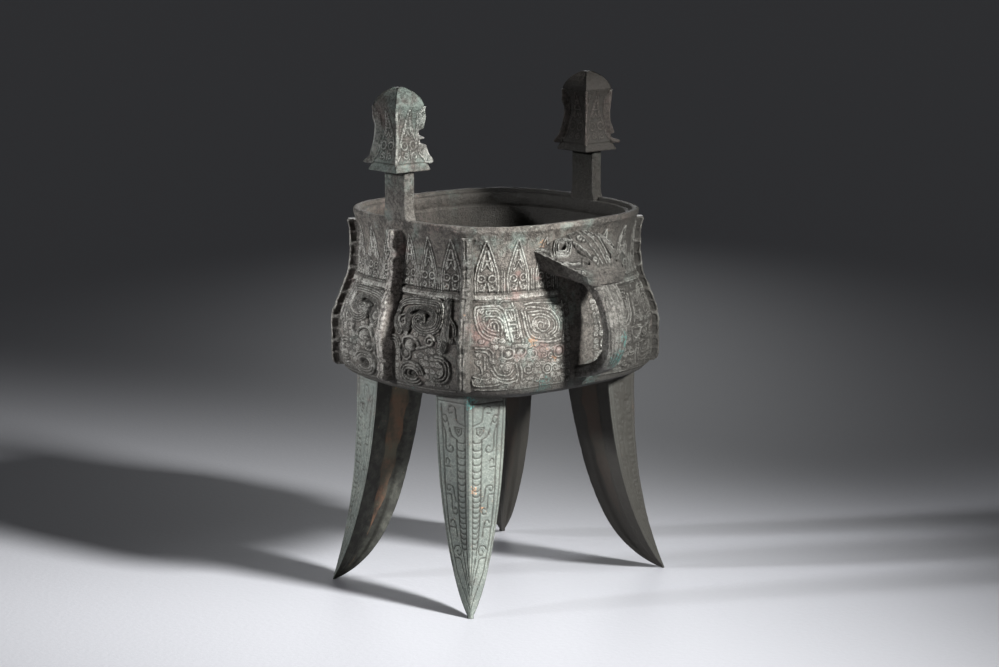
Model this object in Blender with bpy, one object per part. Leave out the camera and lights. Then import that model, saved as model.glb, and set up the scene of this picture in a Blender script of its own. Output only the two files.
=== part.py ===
"""A square bronze jia: a footed wine vessel with two capped posts and a strap handle, cast in one piece.

Run with blender --background --python part.py, or from Blender's text editor. Metres, +Z up. X runs
between the two posts and -Y is the handle's side. The origin is on the floor, under the middle of the
vessel's width and depth over all.
"""
import math

import bmesh
import bpy
from mathutils import Vector

# Heights of the main parts, one above the other
LEG_HEIGHT = 0.1783
BOWL_HEIGHT = 0.1359
STEM_HEIGHT = 0.0394
CAP_HEIGHT = 0.0665

# Bowl, over its outside at the middle of each side
MOUTH_WIDTH = 0.2134
MOUTH_DEPTH = 0.2100
NECK_WIDTH = 0.2060
NECK_DEPTH = 0.1930
BELLY_WIDTH = 0.2310
BELLY_DEPTH = 0.2120
WALL = 0.0045
LIP_EDGE = 0.0042
LIP_FLARE = 0.0190
EDGE_ROUND_HEIGHT = 0.0150
EDGE_ROUND_INSET = 0.0040
UNDERSIDE_DROP = 0.0080
RIM_FLAT = 0.0050
RIM_STEP = 0.0028
LEDGE = 0.0048
COLLAR = 0.0095
COLLAR_SLOPE = 0.0030
STEP_SLOPE = 0.0004
FLOOR_ROUND = 0.0060
FLOOR_FLAT = 0.0300

# Underside: rings as a share of its drop and of how far the flat middle lies inside the lower edge
UNDERSIDE_FLAT = 0.0400
UNDERSIDE_RINGS = ((1.0, 1.0), (0.85, 0.55), (0.45, 0.20))

# How square each level is: the power of its superellipse
MOUTH_POWER = 2.95
NECK_POWER = 3.20
BELLY_POWER = 3.60
LOWER_POWER = 2.80

# The belly swells between these shares of the bowl's height
SWELL_TOP = 0.70
SWELL_FULL = 0.30

# Flanges
FLANGE_THICKNESS = 0.0098
CORNER_FLANGE_DEPTH = 0.0078
SIDE_FLANGE_DEPTH = 0.0106
CORNER_ANGLE = math.radians(37.6)
FLANGE_FOOT = 0.0050
FLANGE_CLEAR_OF_RIM = 0.0088
PIT_COUNT = 6
PIT_DEPTH = 0.0016
PIT_MARGIN = 0.0020
FLANGE_END_ROUND = 0.0018

# Posts
POST_INSET = 0.0039
STEM_ACROSS = 0.0266
STEM_THROUGH = 0.0105
STEM_ROOT = 0.0130
STEM_ROOT_SLOPE = 0.0056
STEM_FOOT_GROW = 0.0014
STEM_FOOT_HEIGHT = 0.0050
STEM_IN_CAP = 0.0030
CAP_BASE = 0.0374
CAP_WAIST = 0.0222
CAP_SHOULDER = 0.0284
CAP_BROW = 0.0256
CAP_CROWN = 0.0182
CAP_TOP = 0.0086
CAP_WAIST_HEIGHT = 0.0310
CAP_SHOULDER_HEIGHT = 0.0520
CAP_BROW_HEIGHT = 0.0575
CAP_CROWN_HEIGHT = 0.0630
CAP_RIDGE_DEPTH = 0.0042
CAP_RIDGE_THICKNESS = 0.0022
CAP_RIDGE_START = 0.0056
CAP_RIDGE_END_GAP = 0.0008
CAP_RIDGE_ROOT = 0.0025

# Legs, by corner: how far inside the belly's box the outer ridge starts, and how far it splays
# from there to the floor. The casting is uneven, so each leg has its own spot.
LEG_INSETS = {
    (-1, -1): (0.0237, 0.0338), (1, -1): (0.0242, 0.0330),
    (-1, 1): (0.0242, 0.0330), (1, 1): (0.0355, 0.0230),
}
LEG_SPLAYS = {
    (-1, -1): (0.0153, 0.0193), (1, -1): (0.0282, 0.0106),
    (-1, 1): (0.0252, 0.0035), (1, 1): (0.0160, 0.0180),
}
LEG_SPLAY_POWER = 2.6
LEG_TIP_SIZE = 0.0026
LEG_EDGE_SPREAD = 0.0286
LEG_BLADE_DEPTH = 0.0590
LEG_BLADE_KNEE = 0.0310
CORE_RECESS = 0.0022
CORE_SEAM = 0.0002
CORE_FROM = 0.32
CORE_TO = 0.72
CORE_LOW = 0.16

# Handle: the strap's section, and the loop's reach and heights
STRAP_TOP_WIDTH = 0.0250
STRAP_LOW_WIDTH = 0.0160
STRAP_THICKNESS = 0.0105
STRAP_SOFT = 0.0022
STRAP_REACH = 0.1500
STRAP_TOP_Z = 0.2690
STRAP_LOW_Z = 0.1905

# Animal head on the handle
HEAD_HALF_WIDTH = 0.0450
HEAD_NOSE_HALF_WIDTH = 0.0215
HEAD_TOP_Z = 0.3062
HEAD_NOSE_DROP = 0.0270
HEAD_NOSE_CURVE = 2.4
HEAD_EDGE_Z = 0.2955
HEAD_NOSE_EDGE_Z = 0.2745
HEAD_LOW_Z = 0.2745
HEAD_NOSE_LOW_Z = 0.2655
HEAD_REACH = 0.1345
HEAD_ROOT = 0.0075
HORN_RADIUS = 0.0100
HORN_RISE = 0.0030
EYE_RADIUS = 0.0032

# Relief
LEAF_BAND_LOW = 0.6080
LEAF_BAND_TOP = 0.8800
LEAF_RISE = 0.0014
LEAF_TIP = 0.0006
LEAVES_PER_HALF = 3
WIDE_LEAF_PITCH = 0.2547
NARROW_LEAF_PITCH = 0.3054
LEAF_EDGE_SHARE = 0.36
LEAF_HALF_SHARE = 0.37
RELIEF_CLEARANCE = 0.0008
MASK_RISE = 0.0016
MASK_STRIP = 0.0036
MASK_EYE = 0.0034
COIL_INNER = 0.0036
MASK_LOW = 0.0600
BORDER_RISE = 0.0008
BORDER_LOW = 0.5620
BORDER_TOP = 0.6000

# Belly masks, for one half of a side. A coil is: place along the half and up the band, half width and
# half height as shares of them, turns, where it starts as a share of a turn, and its number of steps.
# A bar runs from one place to another, and an eye is a boss at a place.
WIDE_MASK = {
    "coils": (
        (0.38, 0.71, 0.13, 0.20, 1.15, 0.48, 8), (0.80, 0.71, 0.13, 0.20, 1.15, 0.02, 8),
        (0.30, 0.15, 0.12, 0.10, 0.75, 0.55, 4), (0.72, 0.16, 0.17, 0.11, 0.75, 0.45, 5),
    ),
    "bars": ((0.59, 0.90, 0.59, 0.56),),
    "eyes": ((0.18, 0.38), (0.60, 0.37)),
}
NARROW_MASK = {
    "coils": (
        (0.36, 0.77, 0.27, 0.18, 1.15, 0.48, 8), (0.62, 0.46, 0.10, 0.07, 0.60, 0.05, 3),
        (0.42, 0.13, 0.22, 0.10, 0.75, 0.55, 5),
    ),
    "bars": ((0.80, 0.94, 0.80, 0.46),),
    "eyes": ((0.32, 0.40),),
}

# Mesh fineness, and how deep each applied form is rooted in what it stands on
AROUND = 36
AROUND_INSIDE = 24
STRIP_ROOT = 0.0020
BORDER_ROOT = 0.0016
LEAF_ROOT = 0.0029
BOSS_ROOT = 0.0024
BOSS_SIDES = 6
FLANGE_ROOT = 0.0036

BRONZE_COLOUR = (0.23, 0.235, 0.20, 1.0)
BRONZE_ROUGHNESS = 0.62
BRONZE_METALLIC = 0.35

SIDE_ANGLES = {"right": 0.0, "back": math.pi / 2, "left": math.pi, "front": -math.pi / 2}
MEAN_RADIUS = (BELLY_WIDTH + BELLY_DEPTH) / 4

POST_REACH = MOUTH_WIDTH / 2 - POST_INSET
BOWL_LOW_Z = LEG_HEIGHT
RIM_Z = LEG_HEIGHT + BOWL_HEIGHT
CAP_Z = RIM_Z + STEM_HEIGHT
TOP_Z = CAP_Z + CAP_HEIGHT


def smooth_step(start, end, value):
    """0 at start and 1 at end, with an even ease at both."""
    share = min(max((value - start) / (end - start), 0.0), 1.0)
    return share * share * (3 - 2 * share)


def blend(a, b, share):
    return a + (b - a) * share


def at_share(share):
    """The height of a share of the bowl, 0 at its lower edge and 1 at its rim."""
    return BOWL_LOW_Z + BOWL_HEIGHT * share


def outside(z):
    """Half width, half depth and squareness of the bowl's outside at a height."""
    share = (z - BOWL_LOW_Z) / BOWL_HEIGHT
    swell = 1 - smooth_step(SWELL_FULL, SWELL_TOP, share)
    flare_start = RIM_Z - LIP_EDGE - LIP_FLARE
    flare = min(max((z - flare_start) / LIP_FLARE, 0.0), 1.0) ** 1.8
    drop = min(max((BOWL_LOW_Z + EDGE_ROUND_HEIGHT - z) / EDGE_ROUND_HEIGHT, 0.0), 1.0)
    tuck = 1 - math.sqrt(1 - drop * drop)
    half_x = blend(blend(NECK_WIDTH, BELLY_WIDTH, swell), MOUTH_WIDTH, flare) / 2
    half_y = blend(blend(NECK_DEPTH, BELLY_DEPTH, swell), MOUTH_DEPTH, flare) / 2
    power = blend(blend(NECK_POWER, BELLY_POWER, swell), MOUTH_POWER, flare)
    power = blend(power, LOWER_POWER, tuck)
    return half_x - EDGE_ROUND_INSET * tuck, half_y - EDGE_ROUND_INSET * tuck, power


def radius(half_x, half_y, power, angle):
    """Distance from the axis to the superellipse in a direction."""
    c, s = abs(math.cos(angle)), abs(math.sin(angle))
    return ((c / half_x) ** power + (s / half_y) ** power) ** (-1 / power)


def ring(half_x, half_y, power, z, around=AROUND):
    points = []
    for step in range(around):
        angle = 2 * math.pi * step / around
        r = radius(half_x, half_y, power, angle)
        points.append(Vector((r * math.cos(angle), r * math.sin(angle), z)))
    return points


def inset_ring(z, inset, level=None, around=AROUND):
    """The outside at a height, or at another level, drawn in by an inset."""
    half_x, half_y, power = outside(z if level is None else level)
    return ring(half_x - inset, half_y - inset, power, z, around)


def solid_from(name, vertices, faces):
    mesh = bpy.data.meshes.new(name)
    mesh.from_pydata(vertices, [], faces)
    mesh.update()
    work = bmesh.new()
    work.from_mesh(mesh)
    bmesh.ops.recalc_face_normals(work, faces=work.faces)
    if work.calc_volume(signed=True) < 0:
        bmesh.ops.reverse_faces(work, faces=work.faces)
    work.to_mesh(mesh)
    work.free()
    body = bpy.data.objects.new(name, mesh)
    bpy.context.collection.objects.link(body)
    return body


def loft(name, rings):
    """A closed solid through rings of equal length, with a flat cap on each end."""
    count = len(rings[0])
    vertices = [point for one in rings for point in one]
    faces = []
    for level in range(len(rings) - 1):
        low, high = level * count, (level + 1) * count
        for step in range(count):
            after = (step + 1) % count
            faces.append((low + step, low + after, high + after, high + step))
    faces.append(tuple(range(count)))
    faces.append(tuple(len(vertices) - 1 - step for step in range(count)))
    return solid_from(name, vertices, faces)


def combine(base, others, operation):
    """Union or difference of solids, worked out at once, which uses the others up."""
    for other in others:
        modifier = base.modifiers.new(other.name, "BOOLEAN")
        modifier.operation = operation
        modifier.solver = "EXACT"
        modifier.object = other
    graph = bpy.context.evaluated_depsgraph_get()
    graph.update()
    result = bpy.data.meshes.new_from_object(base.evaluated_get(graph))
    base.modifiers.clear()
    base.data = result
    for other in others:
        bpy.data.objects.remove(other)
    return base


def face_point(side, across, z, lift):
    """A point on one side of the bowl: across runs round from the side's middle, lift is outward."""
    angle = SIDE_ANGLES[side] + across / MEAN_RADIUS
    r = radius(*outside(z), angle) + lift
    return Vector((r * math.cos(angle), r * math.sin(angle), z))


def side_run(side):
    """The run of a side from its middle round to its corner flange."""
    turn = CORNER_ANGLE if side in ("left", "right") else math.pi / 2 - CORNER_ANGLE
    return turn * MEAN_RADIUS


def make_bowl():
    """The bowl's outside as one solid, from its underside to its rim."""
    rings = []
    for drop, inward in UNDERSIDE_RINGS:
        rings.append(inset_ring(BOWL_LOW_Z - UNDERSIDE_DROP * drop, UNDERSIDE_FLAT * inward, BOWL_LOW_Z))
    shares = (0.0, 0.03, 0.11, 0.30, 0.39, 0.47, 0.55, 0.68, 0.83)
    rings += [inset_ring(at_share(share), 0) for share in shares]
    lip_low = RIM_Z - LIP_EDGE
    for share in (0.6, 1.0):
        rings.append(inset_ring(lip_low - LIP_FLARE * (1 - share), 0))
    rings.append(inset_ring(RIM_Z, 0))
    return loft("bowl", rings)


def make_cavity():
    """The room inside the bowl, with the collar under its rim left standing."""
    ledge_z = RIM_Z - RIM_STEP
    collar_inset = RIM_FLAT + LEDGE
    collar_low = ledge_z - COLLAR
    levels = [
        (RIM_Z + COLLAR, RIM_FLAT, RIM_Z), (ledge_z, RIM_FLAT + STEP_SLOPE, RIM_Z),
        (ledge_z - STEP_SLOPE, collar_inset, RIM_Z), (collar_low, collar_inset, RIM_Z),
    ]
    wall_top = collar_low - COLLAR_SLOPE
    floor_z = BOWL_LOW_Z - UNDERSIDE_DROP + WALL
    levels.append((wall_top, WALL, wall_top))
    levels += [(at_share(share), WALL, at_share(share)) for share in (0.70, 0.57, 0.43, 0.30, 0.08)]
    levels.append((BOWL_LOW_Z, WALL + FLOOR_ROUND, at_share(0.04)))
    levels.append((floor_z, WALL + FLOOR_FLAT, at_share(0.04)))
    rings = [inset_ring(z, inset, level, AROUND_INSIDE) for z, inset, level in levels]
    return loft("cavity", rings)


def flange_plan(kind, angle):
    """Direction and depth of a flange: corner flanges point out of the corners."""
    depth = CORNER_FLANGE_DEPTH if kind == "corner" else SIDE_FLANGE_DEPTH
    return Vector((math.cos(angle), math.sin(angle), 0)), depth


def make_flange(kind, angle):
    """A flange that follows the bowl's profile, with square pits along both of its faces."""
    out, depth = flange_plan(kind, angle)
    side = Vector((-out.y, out.x, 0)) * FLANGE_THICKNESS / 2
    low = BOWL_LOW_Z + FLANGE_FOOT
    high = RIM_Z - FLANGE_CLEAR_OF_RIM
    stations = 6
    rings = []
    for step in range(stations + 1):
        z = blend(low, high, step / stations)
        half_x, half_y, power = outside(z)
        r = radius(half_x, half_y, power, angle)
        end_round = FLANGE_END_ROUND if step in (0, stations) else 0.0
        inner = out * (r - FLANGE_ROOT)
        outer = out * (r + depth - end_round)
        corners = (inner - side, outer - side, outer + side, inner + side)
        rings.append([corner + Vector((0, 0, z)) for corner in corners])
    flange = loft("flange", rings)
    pits = []
    pitch = (high - low) / PIT_COUNT
    for step in range(PIT_COUNT):
        z_from = low + pitch * step + PIT_MARGIN / 2
        z_to = low + pitch * (step + 1) - PIT_MARGIN / 2
        for sign in (-1, 1):
            pits.append(make_pit(out, depth, angle, sign, z_from, z_to))
    return combine(flange, pits, "DIFFERENCE")


def make_pit(out, depth, angle, sign, z_from, z_to):
    """The cutter of one square pit in a face of a flange."""
    across = Vector((-out.y, out.x, 0)) * sign
    rings = []
    for z in (z_from, z_to):
        half_x, half_y, power = outside(z)
        r = radius(half_x, half_y, power, angle)
        near = out * (r + PIT_MARGIN * 0.7)
        far = out * (r + depth - PIT_MARGIN * 0.8)
        deep = across * (FLANGE_THICKNESS / 2 - PIT_DEPTH)
        proud = across * (FLANGE_THICKNESS / 2 + PIT_DEPTH)
        points = (near + deep, far + deep, far + proud, near + proud)
        rings.append([point + Vector((0, 0, z)) for point in points])
    return loft("pit", rings)


def leg_ridge(share, corner):
    """The outer ridge of a leg, share 0 at the bowl and 1 on the floor."""
    bend = share ** LEG_SPLAY_POWER
    x = BELLY_WIDTH / 2 - LEG_INSETS[corner][0] + LEG_SPLAYS[corner][0] * bend
    y = BELLY_DEPTH / 2 - LEG_INSETS[corner][1] + LEG_SPLAYS[corner][1] * bend
    return Vector((corner[0] * x, corner[1] * y, LEG_HEIGHT * (1 - share)))


def leg_blade(share):
    """Setback and spread of the side edges and depth of the blade, at a share of the leg's height."""
    spread = max(LEG_EDGE_SPREAD * (1 - share ** 2) ** 0.68, LEG_TIP_SIZE)
    setback = spread * blend(0.5, 0.75, (1 - share) ** 1.5)
    depth = blend(LEG_BLADE_DEPTH, LEG_BLADE_KNEE, share)
    depth = LEG_TIP_SIZE + (depth - LEG_TIP_SIZE) * (1 - share ** 9) ** 0.8
    return setback, spread, max(depth, setback + LEG_TIP_SIZE)


def leg_ring(share, corner):
    """Twelve points of a leg's kite section, with the clay core's recess on both inner faces."""
    ridge = leg_ridge(share, corner)
    setback, spread, depth = leg_blade(share)
    out = Vector((corner[0], corner[1], 0)).normalized()
    across = Vector((-out.y, out.x, 0))
    recess = CORE_RECESS * smooth_step(1.0, 1 - CORE_LOW, share) + CORE_SEAM
    inner = ridge - out * depth
    half = []
    for sign in (1, -1):
        edge = ridge - out * setback + across * spread * sign
        run = inner - edge
        inward = Vector((-run.y, run.x, 0)).normalized() * recess * sign
        if (ridge - out * depth * 0.6 - edge).dot(inward) < 0:
            inward = -inward
        start = edge + run * CORE_FROM
        end = edge + run * CORE_TO
        half.append([edge, start, start + inward, end + inward, end])
    return [ridge] + half[0] + [inner] + half[1][::-1]


def make_leg(corner):
    """A splayed blade of kite section that stands on its point."""
    shares = (-0.03, 0.0, 0.20, 0.38, 0.54, 0.68, 0.80, 0.89, 0.955, 1.0)
    rings = []
    for share in shares:
        one = leg_ring(max(share, 0.0), corner)
        if share < 0:
            one = [point + Vector((0, 0, -share * LEG_HEIGHT)) for point in one]
        rings.append(one)
    return loft("leg", rings)


def cap_half(height):
    """Half the width of a post's cap at a height above its foot."""
    if height <= CAP_WAIST_HEIGHT:
        share = 1 - height / CAP_WAIST_HEIGHT
        return blend(CAP_WAIST, CAP_BASE, share ** 1.7) / 2
    share = (height - CAP_WAIST_HEIGHT) / (CAP_SHOULDER_HEIGHT - CAP_WAIST_HEIGHT)
    return blend(CAP_WAIST, CAP_SHOULDER, share ** 1.4) / 2


def square(centre, half, z):
    signs = ((-1, -1), (1, -1), (1, 1), (-1, 1))
    return [Vector((centre.x + half * a, centre.y + half * b, z)) for a, b in signs]


def make_post(side):
    """A flat stem on the rim under a waisted square cap with four corner ridges and a hipped top."""
    centre = Vector((side * POST_REACH, 0, 0))
    through, across = STEM_THROUGH / 2, STEM_ACROSS / 2
    stem_rings = []
    for z, grow, slope in ((RIM_Z - STEM_ROOT, 0.0, STEM_ROOT_SLOPE), (RIM_Z - LIP_EDGE, 0.0, 0.0),
                           (RIM_Z, STEM_FOOT_GROW, 0.0), (RIM_Z + STEM_FOOT_HEIGHT, 0.0, 0.0),
                           (CAP_Z + STEM_IN_CAP, 0.0, 0.0)):
        signs = ((-side, -1), (side, -1), (side, 1), (-side, 1))
        spots = [(a * through - side * slope, b * (across + grow)) for a, b in signs]
        stem_rings.append([centre + Vector((x, y, z)) for x, y in spots])
    stem = loft("stem", stem_rings)
    heights = [CAP_WAIST_HEIGHT * step / 5 for step in range(6)]
    heights += [blend(CAP_WAIST_HEIGHT, CAP_SHOULDER_HEIGHT, step / 3) for step in (1, 2, 3)]
    rings = [square(centre, cap_half(height), CAP_Z + height) for height in heights]
    roof = ((CAP_BROW, CAP_BROW_HEIGHT), (CAP_CROWN, CAP_CROWN_HEIGHT), (CAP_TOP, CAP_HEIGHT))
    rings += [square(centre, width / 2, CAP_Z + height) for width, height in roof]
    cap = loft("cap", rings)
    ridges = [make_cap_ridge(centre, sx, sy) for sx in (-1, 1) for sy in (-1, 1)]
    return combine(stem, [cap] + ridges, "UNION")


def make_cap_ridge(centre, sx, sy):
    """The thin ridge on one corner of a cap, cut off square above the cap's foot."""
    out = Vector((sx, sy, 0)).normalized()
    side = Vector((-out.y, out.x, 0)) * CAP_RIDGE_THICKNESS / 2
    low, high = CAP_RIDGE_START, CAP_SHOULDER_HEIGHT - CAP_RIDGE_END_GAP
    rings = []
    for step in range(6):
        height = blend(low, high, step / 5)
        r = cap_half(height) * math.sqrt(2)
        inner = centre + out * (r - CAP_RIDGE_ROOT)
        outer = centre + out * (r + CAP_RIDGE_DEPTH * (0.75 if step in (0, 5) else 1.0))
        corners = (inner - side, outer - side, outer + side, inner + side)
        rings.append([corner + Vector((0, 0, CAP_Z + height)) for corner in corners])
    return loft("cap_ridge", rings)


def strap_path():
    """Middle line of the handle's strap, in the plane across the vessel's front."""
    wall = NECK_DEPTH / 2 - STRIP_ROOT
    low_wall = outside(STRAP_LOW_Z)[1] - FLANGE_ROOT
    out = STRAP_REACH - STRAP_THICKNESS / 2
    shares = (
        (0.00, -0.05), (0.46, -0.02), (0.68, 0.065), (0.84, 0.17), (0.935, 0.30), (0.99, 0.45),
        (0.985, 0.605), (0.92, 0.74), (0.72, 0.866), (0.38, 0.95), (0.00, 1.00),
    )
    path = []
    for across, down in shares:
        start = wall if down < 0.5 else low_wall
        path.append((blend(start, out, across), blend(STRAP_TOP_Z, STRAP_LOW_Z, down)))
    return path


def strap_half_width(fallen):
    """Half the strap's width, from its top (0) to its foot (1)."""
    return blend(STRAP_TOP_WIDTH, STRAP_LOW_WIDTH, min(max(fallen, 0), 1)) / 2


def make_strap():
    """The strap, swept along its path with a soft-edged rectangular section."""
    path = [Vector((0, -y, z)) for y, z in strap_path()]
    rings = []
    for step, point in enumerate(path):
        before = path[max(step - 1, 0)]
        after = path[min(step + 1, len(path) - 1)]
        tangent = (after - before).normalized()
        normal = Vector((0, -tangent.z, tangent.y)).normalized()
        fallen = (STRAP_TOP_Z - point.z) / (STRAP_TOP_Z - STRAP_LOW_Z)
        half_w, half_t, soft = strap_half_width(fallen), STRAP_THICKNESS / 2, STRAP_SOFT
        outline = ((half_w, -half_t), (half_w, half_t - soft), (half_w - soft, half_t),
                   (-half_w + soft, half_t), (-half_w, half_t - soft), (-half_w, -half_t))
        rings.append([point + Vector((x, 0, 0)) + normal * n for x, n in outline])
    return loft("strap", rings)


def head_section(share):
    """Half width, top, edge and lower heights of the animal head, from the wall (0) to its brow (1)."""
    half = blend(HEAD_HALF_WIDTH, HEAD_NOSE_HALF_WIDTH, share)
    top = HEAD_TOP_Z - HEAD_NOSE_DROP * share ** HEAD_NOSE_CURVE
    edge = blend(HEAD_EDGE_Z, HEAD_NOSE_EDGE_Z, share)
    low = blend(HEAD_LOW_Z, HEAD_NOSE_LOW_Z, share)
    return half, top, edge, low


def make_head():
    """The animal head: a hood as wide as two leaves at the wall, narrowing to the strap's bend."""
    wall = NECK_DEPTH / 2 - HEAD_ROOT
    rings = []
    for share in (0, 0.2, 0.4, 0.58, 0.73, 0.85, 0.94, 1.0):
        half, top, edge, low = head_section(share)
        y = -blend(wall, HEAD_REACH, share)
        low_half = half * 0.84
        flank = [(half * f, blend(top, edge, f ** 1.6)) for f in (0.0, 0.45, 0.8, 1.0)]
        flank += [(blend(half, low_half, 0.75), blend(edge, low, 0.7)), (low_half * 0.8, low)]
        outline = flank + [(-x, z) for x, z in flank[:0:-1]]
        rings.append([Vector((x, y, z)) for x, z in outline])
    return loft("head", rings)


def head_spot(share, side_share):
    """A point on the head's flank: side_share 0 at its top and 1 at its edge."""
    half, top, edge, low = head_section(share)
    wall = NECK_DEPTH / 2 - HEAD_ROOT
    z = blend(top, edge, abs(side_share) ** 1.6)
    return Vector((half * side_share, -blend(wall, HEAD_REACH, share), z))


def make_dome(name, centre, size, steps=8):
    """A low boss, as a sphere squashed by its size along each axis."""
    mesh = bpy.data.meshes.new(name)
    work = bmesh.new()
    bmesh.ops.create_uvsphere(work, u_segments=steps, v_segments=4, radius=1.0)
    for vertex in work.verts:
        vertex.co = centre + Vector([a * b for a, b in zip(vertex.co, size)])
    work.to_mesh(mesh)
    work.free()
    body = bpy.data.objects.new(name, mesh)
    bpy.context.collection.objects.link(body)
    return body


def make_handle():
    """Strap, head, and the head's two horn coils and two eyes."""
    parts = [make_head()]
    for sign in (-1, 1):
        horn = head_spot(0.34, 0.58 * sign)
        parts.append(make_dome("horn", horn, Vector((HORN_RADIUS, HORN_RADIUS, HORN_RISE)), 10))
        eye = head_spot(0.78, 0.62 * sign)
        parts.append(make_dome("eye", eye, Vector((EYE_RADIUS, EYE_RADIUS, EYE_RADIUS)), 6))
    return combine(make_strap(), parts, "UNION")


def make_strip(side, path, width, rise, root=STRIP_ROOT):
    """A raised strip that follows a path of (across, height) points on one side of the bowl."""
    rings = []
    for step, (across, z) in enumerate(path):
        before = path[max(step - 1, 0)]
        after = path[min(step + 1, len(path) - 1)]
        run, climb = after[0] - before[0], after[1] - before[1]
        length = math.hypot(run, climb) or 1.0
        end = 0.55 if step in (0, len(path) - 1) else 1.0
        off_x, off_z = -climb / length * width / 2 * end, run / length * width / 2 * end
        left = (across + off_x, z + off_z)
        right = (across - off_x, z - off_z)
        rings.append([
            face_point(side, *left, -root), face_point(side, *right, -root),
            face_point(side, *right, rise), face_point(side, *left, rise),
        ])
    return loft("strip", rings)


def make_leaf(side, centre, half_width):
    """An upright leaf of the neck band: broad at its foot and drawn to a point."""
    low, high = at_share(LEAF_BAND_LOW), at_share(LEAF_BAND_TOP)
    rings = []
    for share in (0.0, 0.5, 1.0):
        z = blend(low, high, share)
        half = half_width * (1 - share ** 1.5) + LEAF_TIP
        rings.append([
            face_point(side, centre - half, z, -LEAF_ROOT), face_point(side, centre + half, z, -LEAF_ROOT),
            face_point(side, centre + half, z, LEAF_RISE * 0.5), face_point(side, centre, z, LEAF_RISE),
            face_point(side, centre - half, z, LEAF_RISE * 0.5),
        ])
    return loft("leaf", rings)


def half_run(side):
    """Where relief starts and ends, from a side's middle, clear of its flanges or of the handle."""
    start = STRAP_TOP_WIDTH / 2 if side == "front" else FLANGE_THICKNESS / 2
    return start + RELIEF_CLEARANCE, side_run(side) - FLANGE_THICKNESS / 2 - RELIEF_CLEARANCE


def make_leaves(side):
    """Leaves of the neck, set out from the corners at a share of the side's half run."""
    leaves = []
    pitch = side_run(side) * (NARROW_LEAF_PITCH if side in ("left", "right") else WIDE_LEAF_PITCH)
    for place in range(LEAVES_PER_HALF):
        centre = half_run(side)[1] - pitch * (place + LEAF_EDGE_SHARE)
        if side == "front" and centre < HEAD_HALF_WIDTH:
            continue
        leaves += [make_leaf(side, centre * sign, pitch * LEAF_HALF_SHARE) for sign in (-1, 1)]
    return leaves


def coil(centre, size, turns, start_angle, steps, sign):
    """A squared spiral as (across, height) points, from its outer end inward."""
    points = []
    for step in range(steps + 1):
        share = step / steps
        angle = start_angle - 2 * math.pi * turns * share
        wide, tall = [blend(half, min(half, COIL_INNER), share) for half in size]
        c, s = math.cos(angle), math.sin(angle)
        square_up = (abs(c) ** 3.2 + abs(s) ** 3.2) ** (-1 / 3.2)
        across = centre[0] + wide * square_up * c
        points.append((across * sign, centre[1] + tall * square_up * s))
    return points


def make_mask_half(side, sign):
    """Half of a belly mask, laid out along the half side by its layout: coils, then eyes."""
    start, end = half_run(side)
    low, high = at_share(MASK_LOW), at_share(BORDER_LOW)
    run, rise = end - start, high - low
    layout = WIDE_MASK if side in ("front", "back") else NARROW_MASK
    pieces = []
    for u, v, wide, tall, turns, start_turn, steps in layout["coils"]:
        centre = (start + run * u, low + rise * v)
        path = coil(centre, (run * wide, rise * tall), turns, 2 * math.pi * start_turn, steps, sign)
        pieces.append(make_strip(side, path, MASK_STRIP, MASK_RISE))
    for u_from, v_from, u_to, v_to in layout["bars"]:
        ends = ((u_from, v_from), (blend(u_from, u_to, 0.5), blend(v_from, v_to, 0.5)), (u_to, v_to))
        path = [((start + run * u) * sign, low + rise * v) for u, v in ends]
        pieces.append(make_strip(side, path, MASK_STRIP, MASK_RISE))
    for u, v in layout["eyes"]:
        pieces.append(make_boss(side, (start + run * u) * sign, low + rise * v))
    return pieces


def make_boss(side, across, z):
    """An eye of a belly mask: a low boss with a bevelled edge."""
    rings = []
    for lift, share in ((-BOSS_ROOT, 1.0), (MASK_EYE * 0.55, 1.0), (MASK_EYE * 0.85, 0.5)):
        points = []
        for step in range(BOSS_SIDES):
            angle = 2 * math.pi * step / BOSS_SIDES
            off_across, off_z = MASK_EYE * share * math.cos(angle), MASK_EYE * share * math.sin(angle)
            points.append(face_point(side, across + off_across, z + off_z, lift))
        rings.append(points)
    return loft("boss", rings)


def make_border(side, sign):
    """The plain raised border between the neck's leaves and the belly's mask."""
    low, high = at_share(BORDER_LOW), at_share(BORDER_TOP)
    middle = (low + high) / 2
    start, end = half_run(side)
    path = [(blend(start, end, step / 5) * sign, middle) for step in range(6)]
    return make_strip(side, path, high - low, BORDER_RISE, BORDER_ROOT)


def make_relief():
    pieces = []
    for side in ("front", "left", "back", "right"):
        pieces += make_leaves(side)
        for sign in (-1, 1):
            pieces.append(make_border(side, sign))
            pieces += make_mask_half(side, sign)
    return pieces


def bronze():
    material = bpy.data.materials.new("old_bronze")
    material.use_nodes = True
    shader = material.node_tree.nodes["Principled BSDF"]
    shader.inputs["Base Color"].default_value = BRONZE_COLOUR
    shader.inputs["Roughness"].default_value = BRONZE_ROUGHNESS
    shader.inputs["Metallic"].default_value = BRONZE_METALLIC
    return material


def centre_in_depth(body):
    """Move the vessel so that the middle of its depth over all, handle included, is over the origin."""
    nearest = min(vertex.co.y for vertex in body.data.vertices)
    farthest = max(vertex.co.y for vertex in body.data.vertices)
    shift = -(nearest + farthest) / 2
    for vertex in body.data.vertices:
        vertex.co.y += shift


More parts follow.
